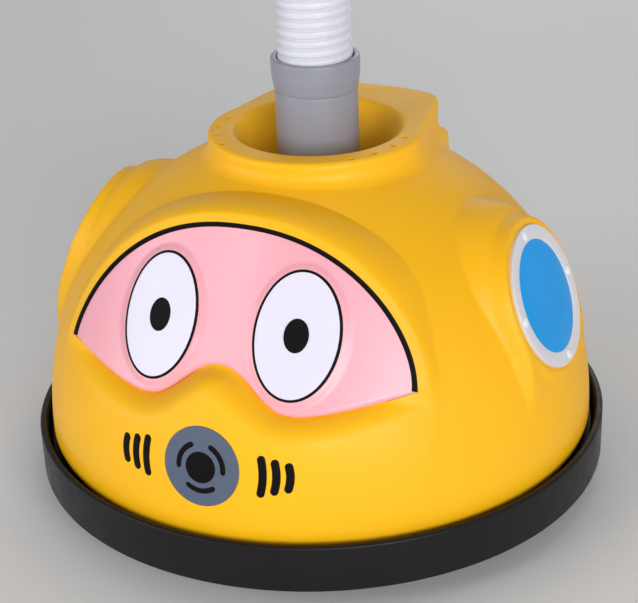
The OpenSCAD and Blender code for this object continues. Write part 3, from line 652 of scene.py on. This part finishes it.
def dome_height(r, grow=0.0):
    """Height of the plain dome at a radius."""
    share = np.clip(r / (HOOD_R + grow), 0, 1)
    return DOME_Z + (DOME_H + grow) * (1 - share ** 2) ** (1 / DOME_POWER)


def collar_radius(azimuth):
    """Distance of the collar's outline from the swivel axis; azimuth 0 is the front, positive towards +X."""
    turns = np.linspace(-math.pi / 2, math.pi / 2, 60)
    arc = np.stack([COLLAR_R * np.sin(turns), COLLAR_Y - COLLAR_R * np.cos(turns)], -1)
    corners = np.concatenate([arc, np.array(COLLAR_REAR, float)])
    loop = np.concatenate([corners, corners[:1]])
    step = np.concatenate([[0], np.cumsum(np.linalg.norm(np.diff(loop, axis=0), axis=1))])
    s = np.linspace(0, step[-1], 1200, endpoint=False)
    dense = np.stack([np.interp(s, step, loop[:, 0]), np.interp(s, step, loop[:, 1])], -1)
    shift = np.arange(-24, 25)
    weight = np.exp(-0.5 * (shift / 8.0) ** 2)
    weight /= weight.sum()
    dense = sum(w * np.roll(dense, k, 0) for w, k in zip(weight, shift))
    angle = np.arctan2(dense[:, 0], SWIVEL_Y - dense[:, 1])
    radius = np.hypot(dense[:, 0], dense[:, 1] - SWIVEL_Y)
    order = np.argsort(angle)
    return np.interp(azimuth, angle[order], radius[order], period=TAU)


def on_collar(azimuth, reach, grow):
    """Plan points a distance grow outside the collar's outline."""
    r = reach + grow
    return np.stack([r * np.sin(azimuth), SWIVEL_Y - r * np.cos(azimuth)], -1)


def dome_rows(azimuth, join, count, bend, grow=0.0):
    """Rows of dome points from its widest ring up to the plan points join."""
    rho = np.linalg.norm(join, axis=-1)
    top = dome_height(rho, grow)
    end = np.unwrap(np.arctan2(join[:, 0], -join[:, 1]))
    end = azimuth + (end - azimuth + math.pi) % TAU - math.pi
    rows = []
    for i in range(count):
        u = i / count
        z = DOME_Z + (top - DOME_Z) * (1 - (1 - u) ** bend)
        angle = azimuth + (end - azimuth) * u * u
        r = dome_radius(z, grow)
        rows.append(np.stack([r * np.sin(angle), -r * np.cos(angle), z], -1))
    return rows


def collar_foot(plan, away):
    """Height of the skin at plan points near the collar: the dome, with a low step behind."""
    z = dome_height(np.linalg.norm(plan, axis=-1))
    step = STEP_Z - STEP_FALL * smoothstep(6.5, 11, away)
    return np.where(z > step + STEP_BLEND, z, soft_max(z, step, 2.0))


def ring(azimuth, radius, centre_y, z):
    """One row of the hood: a level ring about (0, centre_y)."""
    return np.stack([radius * np.sin(azimuth), centre_y - radius * np.cos(azimuth), np.full(AROUND, z)], -1)


def with_height(plan, z):
    """One row of the hood from plan points and their heights."""
    return np.concatenate([plan, np.broadcast_to(z, AROUND)[:, None]], -1)


def collar_rows(azimuth, reach):
    """Rows from the apron round the collar up its fillet and wall and over its rounded rim."""
    foot = dome_height(np.linalg.norm(on_collar(azimuth, reach, 0), axis=-1))
    fillet = np.minimum(COLLAR_FILLET, FILLET_SHARE * (RIM_Z - RIM_ROUND - foot))
    rows = []
    for g in np.linspace(1, 0, 34, endpoint=False):
        away = fillet + (COLLAR_APRON - fillet) * g
        plan = on_collar(azimuth, reach, away)
        rows.append(with_height(plan, collar_foot(plan, away)))
    for t in np.linspace(math.pi / 2, 0, 12):
        away = fillet * (1 - math.cos(t))
        plan = on_collar(azimuth, reach, away)
        rows.append(with_height(plan, collar_foot(plan, away) + fillet * (1 - math.sin(t))))
    wall_low = rows[-1][:, 2]
    for t in np.linspace(0, 1, 6)[1:]:
        rows.append(with_height(on_collar(azimuth, reach, 0), mix(wall_low, RIM_Z - RIM_ROUND, t)))
    for t in np.linspace(0, math.pi / 2, 7)[1:]:
        plan = on_collar(azimuth, reach, -RIM_ROUND + RIM_ROUND * math.cos(t))
        rows.append(with_height(plan, RIM_Z - RIM_ROUND + RIM_ROUND * math.sin(t)))
    return rows


def hood_skin(azimuth, reach):
    """Rows of the hood's outer skin, from the hem over the dome and the collar down the crater."""
    rows = [ring(azimuth, dome_radius(z), 0, z) for z in np.linspace(HEM_Z, DOME_Z, 7)[:-1]]
    rows += dome_rows(azimuth, on_collar(azimuth, reach, COLLAR_APRON), 210, 1.35)
    rows += collar_rows(azimuth, reach)
    rows += crater_rows(azimuth, reach - RIM_ROUND)
    return np.array(rows)


def crater_profile():
    """Radius and height down the crater from its soft lip."""
    lip = [(CRATER_R + CRATER_LIP * (1 - math.sin(t)), RIM_Z - CRATER_LIP * (1 - math.cos(t)) * 0.62)
           for t in np.linspace(0, math.pi / 2.6, 7)]
    lip_r, lip_z = lip[-1]
    down = [(CRATER_FLOOR_R + (lip_r - CRATER_FLOOR_R) * (1 - t) ** 1.5, mix(lip_z, CRATER_FLOOR_Z, t))
            for t in np.linspace(0, 1, 26)[1:]]
    return lip + down


def crater_rows(azimuth, edge):
    """Rows across the flat rim and down the crater."""
    profile = crater_profile()
    flat = [ring(azimuth, mix(edge, profile[0][0], t), SWIVEL_Y, RIM_Z) for t in np.linspace(0, 1, 7)[1:-1]]
    return flat + [ring(azimuth, r, SWIVEL_Y, z) for r, z in profile]


def hood_lining(azimuth, reach):
    """Rows of the inner skin, from the crater's back over the roof down to the hem."""
    roof_z = RIM_Z - WALL
    rows = [ring(azimuth, r + WALL, SWIVEL_Y, min(z, roof_z)) for r, z in crater_profile()[::-4]]
    roof = on_collar(azimuth, reach, -WALL)
    rows.append(with_height(roof, roof_z))
    low = np.minimum(dome_height(np.linalg.norm(roof, axis=-1), -WALL), roof_z - 1)
    rows.append(with_height(roof, low - 1))
    rows += dome_rows(azimuth, on_collar(azimuth, reach, -WALL + 2), 34, 1.3, -WALL)[::-1]
    rows.append(rows[-1] * [1, 1, 0] + [0, 0, HEM_Z + 1.5])
    rows.append(rows[-1] * [1, 1, 0] + [0, 0, HEM_Z])
    rows = np.array(rows)
    local = to_mask(rows)
    y = soft_max(local[..., 1], panel_y(local[..., 0]) + PANEL_T + WALL, 1.0)
    moved = from_mask(local[..., 0], y, local[..., 2])
    return np.where(in_front(rows, 130, -30, 60, 204)[..., None], moved, rows)


def in_front(points, half_width, back_y, low_z, high_z):
    """Which points lie in the part of the hood round the mask."""
    x, y, z = points[..., 0], points[..., 1], points[..., 2]
    return (y < back_y) & (np.abs(x) < half_width) & (z > low_z) & (z < high_z)


def shape_mask(points):
    """Pushes the front of the skin to the brow above the mask and to the hollow below it."""
    near = in_front(points, 150, -15, 50, 208)
    local = to_mask(points[near])
    x, y, z = local[:, 0], local[:, 1], local[:, 2]
    away = outline_distance(x, z)
    above = smoothstep(-27, -9, z)
    proud = mix(-SCOOP, BROW_PROUD, above)
    ledge_end = LEDGE_AT_CORNER + LEDGE_WIDER_ON_TOP * smoothstep(0, 62, z)
    brow = 1 - np.clip((away - LEDGE_FLAT) / (ledge_end - LEDGE_FLAT), 0, 1) ** 1.3
    hollow = (1 - np.clip(away / HOLLOW_REACH, 0, 1)) ** 2 * smoothstep(-98, -70, z)
    share = mix(hollow, brow, above)
    target = panel_y(x) - proud
    y = y + (target - y) * share
    inside_fold = 1 - smoothstep(*CREASE_X, np.abs(x) + 0.03 * (z + 15))
    crease = CREASE * inside_fold * smoothstep(-95, -50, z)
    y = y - crease * (1 - share) * (1 - smoothstep(-10, 30, z))
    out = points.copy()
    out[near] = from_mask(x, y, z)
    return out


def arch_depth(up, side, centre, height, width):
    """How far inside an arch with straight sides a point lies."""
    reach = np.where(up > centre, np.hypot((up - centre) / height, side / width), np.abs(side) / width)
    return (1 - reach) * width


def shape_port(points, sign):
    """Raises the arched shoulder and the plateau round one porthole and levels its seat."""
    flip = np.array([sign, 1, 1])
    p = points * flip - PORT_CENTRE
    up, side, out = p @ PORT_UP, p @ PORT_SIDE, p @ PORT_OUT
    near = (out > -75) & (np.hypot(up, side) < 95) & (points[..., 2] < 200)
    up, side, out = up[near], side[near], out[near]
    rho = np.hypot(up, side)
    rise = (SHOULDER_RISE + SHOULDER_RISE_ON_TOP * smoothstep(-4, 54, up)) * smoothstep(-58, -22, up)
    shoulder = arch_depth(up, side, SHOULDER_UP, SHOULDER_H, SHOULDER_W)
    slope = np.clip(shoulder / (3.8 + 7.7 * smoothstep(5, 50, up)), 0, 1)
    raised = out + rise * (1 - (1 - slope) ** 2)
    plateau = arch_depth(up, side, PLATEAU_UP, PLATEAU_H, np.where(side > 0, PLATEAU_FRONT_W, PLATEAU_REAR_W))
    on_plateau = smoothstep(-1.5, 3.5, plateau) * smoothstep(-52, -12, up)
    raised = mix(raised, soft_max(raised, 0.0 * up, 1.0), on_plateau)
    flat = mix(-SEAT_DEPTH, 0.0, smoothstep(SEAT_R - 1.4, SEAT_R, rho))
    blend_end = SEAT_BLEND_R + 3.0 * smoothstep(-20, 10, side)
    out = mix(flat, raised, smoothstep(SEAT_R, blend_end, rho))
    result = points.copy()
    result[near] = from_port(side, up, out) * flip
    return result


def from_port(side, up, out):
    """A porthole's own coordinates to object millimetres, on the right-hand side."""
    return PORT_CENTRE + up[:, None] * PORT_UP + side[:, None] * PORT_SIDE + out[:, None] * PORT_OUT


def panel_solid(front, back, outline, rows=26):
    """Closed solid within an outline on the panel, its two faces given as heights y over x and z."""
    centre = np.array([0.0, 10.0])
    share = 1 - (1 - np.linspace(0, 1, rows + 1)[1:]) ** 1.6
    flat = centre + share[:, None, None] * (outline - centre)
    n = len(outline)
    x, z = flat[..., 0], flat[..., 1]
    top = from_mask(x, front(x, z), z).reshape(-1, 3)
    low = from_mask(x, back(x, z), z).reshape(-1, 3)
    cx, cz = np.array([centre[0]]), np.array([centre[1]])
    points = np.concatenate([top, low, from_mask(cx, front(cx, cz), cz), from_mask(cx, back(cx, cz), cz)])
    size = rows * n
    edge = (rows - 1) * n
    following = [(i + 1) % n for i in range(n)]
    faces = [f[::-1] for f in grid_faces(rows, n, False)] + grid_faces(rows, n, False, start=size)
    faces += [(2 * size, j, i) for i, j in enumerate(following)]
    faces += [(2 * size + 1, size + i, size + j) for i, j in enumerate(following)]
    faces += [(edge + i, edge + j, size + edge + j, size + edge + i) for i, j in enumerate(following)]
    return points, faces


def cut(obj, cutter):
    """Takes cutter away from obj for good."""
    modifier = obj.modifiers.new("cut", "BOOLEAN")
    modifier.operation = "DIFFERENCE"
    modifier.solver = "MANIFOLD"
    modifier.object = cutter
    depsgraph = bpy.context.evaluated_depsgraph_get()
    mesh = bpy.data.meshes.new_from_object(obj.evaluated_get(depsgraph))
    obj.modifiers.clear()
    old = obj.data
    obj.data = mesh
    bpy.data.meshes.remove(old)
    bpy.data.objects.remove(cutter)


def rim_drills():
    """Upright cylinders that make the small holes in the rim."""
    points, faces = [], []
    around = 24
    circle = [(RIM_HOLE_R * math.cos(TAU * i / around), RIM_HOLE_R * math.sin(TAU * i / around))
              for i in range(around)]
    for sign in (-1, 1):
        for degrees in RIM_HOLE_DEGREES:
            a = math.radians(degrees)
            cx = sign * RIM_HOLE_RING * math.sin(a)
            cy = RIM_HOLE_Y - RIM_HOLE_RING * math.cos(a)
            low = len(points)
            high = low + around
            for z in (RIM_Z - RIM_HOLE_DEPTH, RIM_Z + 3):
                points += [(cx + x, cy + y, z) for x, y in circle]
            faces.append(tuple(low + i for i in reversed(range(around))))
            faces.append(tuple(high + i for i in range(around)))
            for i in range(around):
                j = (i + 1) % around
                faces.append((low + i, low + j, high + j, high + i))
    return raw_object("rim_drills", points, faces)


def make_hood():
    """One closed shell: outer skin and lining, with the mask's pocket and the rim's holes cut."""
    azimuth = np.arange(AROUND) * TAU / AROUND - math.pi
    reach = collar_radius(azimuth)
    skin = shape_port(shape_port(shape_mask(hood_skin(azimuth, reach)), 1), -1)
    lining = hood_lining(azimuth, reach)
    points = np.concatenate([skin, lining])
    faces = grid_faces(len(points), AROUND, True)
    hood = raw_object("hood_skin", points.reshape(-1, 3), faces)
    points, faces = panel_solid(lambda x, z: -45.0 + 0 * x, lambda x, z: panel_y(x) + PANEL_T, OUTLINE)
    cut(hood, raw_object("pocket", points, faces))
    cut(hood, rim_drills())
    finish_piece(hood, "chassis", "hood_shell", 40)
    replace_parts(hood, "hood")


# ---- mask, eyes and portholes ----

def eye_gap(x, z):
    """Roughly how far outside the nearer eye's oval a point of the panel lies."""
    dx = (np.abs(x) - EYE_CENTRE[0]) / EYE_RX
    dz = (z - EYE_CENTRE[1]) / EYE_RZ
    e = np.sqrt(dx * dx + dz * dz) + 1e-9
    return (e - 1) * np.sqrt((dx * EYE_RX) ** 2 + (dz * EYE_RZ) ** 2) / e


def pink_lift(x, z):
    """How far the pink surface stands out of the plain panel."""
    mound = EYE_MOUND * (1 - smoothstep(0.5, 5.0, eye_gap(x, z)))
    inside = np.clip(-outline_distance(x, z), 0, PINK_EDGE)
    drop = PINK_EDGE - np.sqrt(np.maximum(0, PINK_EDGE ** 2 - (PINK_EDGE - inside) ** 2))
    return mound - drop * (1 - smoothstep(-24, -10, z))


def make_mask():
    """Pink panel a hair smaller than its pocket, the dark line on its upper edge and the plain eyes."""
    slim = OUTLINE * (1 - 0.25 / 60)
    points, faces = panel_solid(lambda x, z: panel_y(x) - pink_lift(x, z), lambda x, z: panel_y(x) + PINK_T,
                                slim, 60)
    panel = new_piece("mask_pink_panel", points, faces, "chassis", "mask_pink", 50)
    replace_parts(panel, "mask_panel")
    make_trim()
    for sign, side in ((-1, "left"), (1, "right")):
        white = oval_layer(f"eye_white_{side}", sign, (EYE_RX, EYE_RZ), (-0.4, EYE_T), "eye_white")
        rim = oval_band(f"eye_rim_{side}", sign)
        pupil = oval_layer(f"pupil_{side}", sign, (PUPIL_RX, PUPIL_RZ), (0.4, PUPIL_T), "print_black")
        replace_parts(white, "eye_ovals")
        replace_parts(rim, "eye_ovals")
        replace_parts(pupil, "pupils")


def eye_ring(sign, a, rx, rz, lift):
    """An oval row of points about one eye's centre, lifted off the panel."""
    x = sign * EYE_CENTRE[0] + rx * np.cos(a)
    z = EYE_CENTRE[1] + rz * np.sin(a)
    return from_mask(x, panel_y(x) - lift, z)


def oval_layer(name, sign, radii, span, slot, rings=24, around=120):
    """A thin oval plate on an eye's mound, its edge rounded; span is its low and high face."""
    a = np.arange(around) * TAU / around
    low = EYE_MOUND + span[0]
    high = EYE_MOUND + span[1]
    shares = np.concatenate([np.linspace(0.04, 0.97, rings), [0.985, 0.996, 1.0, 1.0, 0.6, 0.04]])
    drops = np.concatenate([np.zeros(rings), [0.08, 0.28, 0.6, 1.0, 1.0, 1.0]]) * (high - low)
    rows = [eye_ring(sign, a, share * radii[0], share * radii[1], high - drop)
            for share, drop in zip(shares, drops)]
    faces = grid_faces(len(rows), around, False)
    faces.append(tuple(reversed(range(around))))
    faces.append(tuple((len(rows) - 1) * around + i for i in range(around)))
    faces = [tuple(reversed(f)) for f in faces]
    return new_piece(name, np.array(rows).reshape(-1, 3), faces, "chassis", slot, 50)


def oval_band(name, sign, around=160):
    """Thin dark line round an eye, a ribbon bent over its edge."""
    a = np.arange(around) * TAU / around
    section = [(-1.05, 0.3), (-1.05, 0.68), (0.1, 0.62), (0.35, 0.3), (0.35, -0.4), (0.0, -0.4)]
    rows = [eye_ring(sign, a, EYE_RX + grow, EYE_RZ + grow, EYE_MOUND + lift) for grow, lift in section]
    faces = [tuple(reversed(f)) for f in grid_faces(len(rows), around, True)]
    return new_piece(name, np.array(rows).reshape(-1, 3), faces, "chassis", "print_black", 50)


def make_trim():
    """Black line along the mask's upper edge, square at both corners."""
    u = np.sin(np.linspace(-math.pi / 2, math.pi / 2, 220))
    line = np.stack([MASK_HALF * u, mask_upper(u)], -1)
    along = np.gradient(line, axis=0)
    along /= np.linalg.norm(along, axis=1)[:, None]
    inward = np.stack([along[:, 1], -along[:, 0]], -1)
    width = TRIM_W + TRIM_WIDER * smoothstep(0.0, 0.9, u)
    section = [(-0.35, 0.1), (-0.35, BROW_PROUD + 0.12), (0.25, BROW_PROUD + 0.2), (0.9, 0.45), (1.0, 0.1),
               (1.0, -1.0), (-0.35, -1.0)]
    rows = []
    for share, lift in section:
        p = line + inward * (np.maximum(share, 0) * width + min(share, 0))[:, None]
        rows.append(from_mask(p[:, 0], panel_y(p[:, 0]) - lift, p[:, 1]))
    points = np.array(rows)
    n, m = len(section), len(u)
    faces = [tuple(reversed(f)) for f in grid_faces(n, m, True, False)]
    faces.append(tuple(i * m for i in range(n)))
    faces.append(tuple(i * m + m - 1 for i in reversed(range(n))))
    trim = new_piece("mask_black_line", points.reshape(-1, 3), faces, "chassis", "print_black", 45)
    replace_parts(trim, "mask_trim")


def port_piece(name, profile, slot, sign, around=160):
    """A closed profile turned about the porthole's axis."""
    a = np.arange(around) * TAU / around
    profile = np.asarray(profile, float)
    r = profile[:, 0][:, None]
    out = np.repeat(profile[:, 1][:, None], around, 1)
    local = np.stack([r * np.cos(a), r * np.sin(a), out], -1).reshape(-1, 3)
    return placed_port(name, local, grid_faces(len(profile), around, True), slot, sign)


def placed_port(name, local, faces, slot, sign):
    """A piece drawn in the porthole's own coordinates, on the right-hand side or mirrored."""
    world = (PORT_CENTRE + local[:, :1] * PORT_SIDE + local[:, 1:2] * PORT_UP + local[:, 2:] * PORT_OUT)
    world = world * np.array([sign, 1, 1])
    if sign < 0:
        faces = [tuple(reversed(f)) for f in faces]
    return new_piece(name, world, faces, "chassis", slot, 40)


def make_rivet(name, degrees, sign):
    """A low round rivet in the middle of the porthole's ring."""
    cap = dome_cap(name, RIVET_R, RIVET_H)
    a = math.radians(degrees)
    mid = (PORT_R + LENS_R) / 2
    place = [mid * math.cos(a), mid * math.sin(a), RIVET_Z]
    local = np.array([v.co[:] for v in cap.data.vertices]) / MM + place
    faces = [tuple(p.vertices) for p in cap.data.polygons]
    bpy.data.objects.remove(cap)
    return placed_port(name, local, faces, "rivet_pale", sign)


def make_ports():
    """Pale ring, blue lens and four rivets on each side."""
    bore = LENS_R - 0.2
    ring_section = rounded([(bore, -1.6, 0.1), (bore, 0.75, 0.4),
                            (PORT_R, 0.95, 0.5), (PORT_R, -1.6, 0.1)], 4)
    lens_section = [(0.02, -1.5), (LENS_R, -1.5), (LENS_R, 0.25), (LENS_R - 0.5, 0.4),
                    (20.0, 0.45), (8.0, 0.48), (0.02, 0.5)]
    for sign, side in ((-1, "left"), (1, "right")):
        ring_piece = port_piece(f"porthole_ring_{side}", ring_section[::-1], "port_ring", sign)
        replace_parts(ring_piece, "porthole_rings")
        lens = port_piece(f"porthole_lens_{side}", lens_section[::-1], "port_blue", sign)
        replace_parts(lens, "porthole_lenses")
        for k, degrees in enumerate((0, 90, 180, 270)):
            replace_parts(make_rivet(f"porthole_rivet_{side}_{k}", degrees, sign), "porthole_rivets")


# ---- badge and bars ----

def on_skin(x, z, lift):
    """Points on the front of the hood over plan x and height z, raised by lift."""
    x, z = np.asarray(x, float), np.asarray(z, float)
    y = -np.sqrt(dome_radius(z) ** 2 - x * x)
    step = 0.5
    slope = (dome_radius(z + step) - dome_radius(z - step)) / (2 * step)
    normal = np.stack([x / dome_radius(z), y / dome_radius(z), -slope], -1)
    normal /= np.linalg.norm(normal, axis=-1)[..., None]
    return shape_mask(np.stack([x, y, z], -1)) + normal * np.asarray(lift)[..., None]


def grid_border(rows, cols):
    """Indices round the edge of a grid, in the turning sense of its upper face."""
    first = list(range(cols))
    right = [r * cols + cols - 1 for r in range(1, rows)]
    last = [(rows - 1) * cols + i for i in range(cols - 2, -1, -1)]
    left = [r * cols for r in range(rows - 2, 0, -1)]
    return (first + right + last + left)[::-1]


def skin_patch(name, x, z, thick, slot, wrap):
    """A thin closed plate on the hood from a grid of x and z; wrap joins the grid's columns."""
    thinner = np.zeros(x.shape)
    thinner[-1] = PATCH_EDGE
    if not wrap:
        thinner[0] = PATCH_EDGE
        thinner[:, 0] = PATCH_EDGE
        thinner[:, -1] = PATCH_EDGE
    top = on_skin(x, z, thick * (1 - thinner))
    low = on_skin(x, z, np.full(x.shape, -PATCH_SUNK))
    rows, cols = x.shape
    size = rows * cols
    faces = [tuple(reversed(f)) for f in grid_faces(rows, cols, False, wrap)]
    faces += grid_faces(rows, cols, False, wrap, start=size)
    if wrap:
        faces.append(tuple(range(cols)))
        faces.append(tuple(size + i for i in reversed(range(cols))))
        loop = [(rows - 1) * cols + i for i in range(cols)]
    else:
        loop = grid_border(rows, cols)
    for i, j in zip(loop, loop[1:] + loop[:1]):
        faces.append((i, j, size + j, size + i))
    points = np.concatenate([top.reshape(-1, 3), low.reshape(-1, 3)])
    return new_piece(name, points, faces, "chassis", slot, 50)


def disc_patch(name, radius, thick, slot):
    """A thin round plate about the badge's centre."""
    a = -np.arange(120) * TAU / 120
    r = np.concatenate([np.linspace(0.5, radius - 0.4, 20), [radius - 0.15, radius]])[:, None]
    return skin_patch(name, r * np.cos(a), BADGE_Z + r * np.sin(a), thick, slot, True)


def stroke_patch(name, line, width, thick, slot):
    """A stroke with round ends along a smooth line of (x, z) points."""
    line = np.asarray(line, float)
    step = np.concatenate([[0], np.cumsum(np.linalg.norm(np.diff(line, axis=0), axis=1))])
    half = width / 2
    t = (1 - np.cos(np.linspace(0, math.pi, 46))) / 2
    s = step[-1] * t
    centre = np.stack([np.interp(s, step, line[:, 0]), np.interp(s, step, line[:, 1])], -1)
    along = np.gradient(centre, axis=0)
    along /= np.linalg.norm(along, axis=1)[:, None]
    across = np.stack([-along[:, 1], along[:, 0]], -1)
    end = np.minimum(s, step[-1] - s)
    reach = np.sqrt(np.maximum(half ** 2 - np.maximum(half - end, 0) ** 2, 0.03 ** 2))
    side = np.linspace(-1, 1, 7)
    grid = centre[:, None, :] + (reach[:, None] * side[None, :])[..., None] * across[:, None, :]
    return skin_patch(name, grid[..., 0], grid[..., 1], thick, slot, False)


def make_front_marks():
    """Round badge with a hub and three strokes, and three bowed bars on each side of it."""
    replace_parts(disc_patch("badge_disc", BADGE_R, 0.45, "badge_grey"), "regulator_badge")
    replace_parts(disc_patch("badge_centre", BADGE_HUB_R, 0.75, "print_black"), "regulator_marks")
    for k, middle in enumerate((30, 150, 270)):
        a = np.radians(np.linspace(middle - 40, middle + 40, 40))
        line = np.stack([BADGE_ARC_R * np.cos(a), BADGE_Z + BADGE_ARC_R * np.sin(a)], -1)
        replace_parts(stroke_patch(f"badge_arc_{k}", line, BADGE_ARC_W, 0.72, "print_black"), "regulator_marks")
    t = np.linspace(-1, 1, 30)
    for sign, side in ((-1, "left"), (1, "right")):
        for i in range(3):
            x = sign * (BAR_X + BAR_PITCH * i + BAR_BOW * (1 - t * t) - BAR_BOW / 2)
            z = BAR_Z + (BAR_HALF - BAR_SHORTER * i) * t
            line = np.stack([x, z], -1)
            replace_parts(stroke_patch(f"bar_{side}_{i}", line, BAR_W, 0.45, "print_black"), "grille_bars")


# ---- bumper ----

def make_bumper():
    """Rubber band with a rounded top edge; its inner groove grips the rim of the base plate."""
    r, low, top = BUMPER_R, BUMPER_LOW, BUMPER_TOP
    plate_top = 28.0
    plate_low = 24.0
    lip_r = 153.5
    groove_r = 157.0
    foot_r = 152.0
    profile = rounded([
        (r - 0.2, low, 1.6), (r, top - 0.2, 1.4), (r - 3.4, top, 1.2), (r - 4.6, top - 2.4, 1.4),
        (r - 5.4, top - 8.0, 1.0), (r - 6.5, plate_top + 3, 0.6), (lip_r, plate_top + 3, 0.4),
        (lip_r, plate_top, 0.0), (groove_r, plate_top, 0.0), (groove_r, plate_low, 0.0),
        (foot_r, plate_low, 0.0), (foot_r, plate_low - 3, 0.5), (r - 7.0, plate_low - 4, 0.6),
        (r - 6.4, low, 1.5)], 6)
    bumper = revolve("bumper_band", profile, "chassis", "bumper_rubber", 0.0, 360, 40)
    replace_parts(bumper, "bumper_ring")


place_camera()
make_hose()
light_studio()
make_floor()
paint_nodes()
make_lower_cuff()
make_hood()
make_mask()
make_ports()
make_front_marks()
make_bumper()
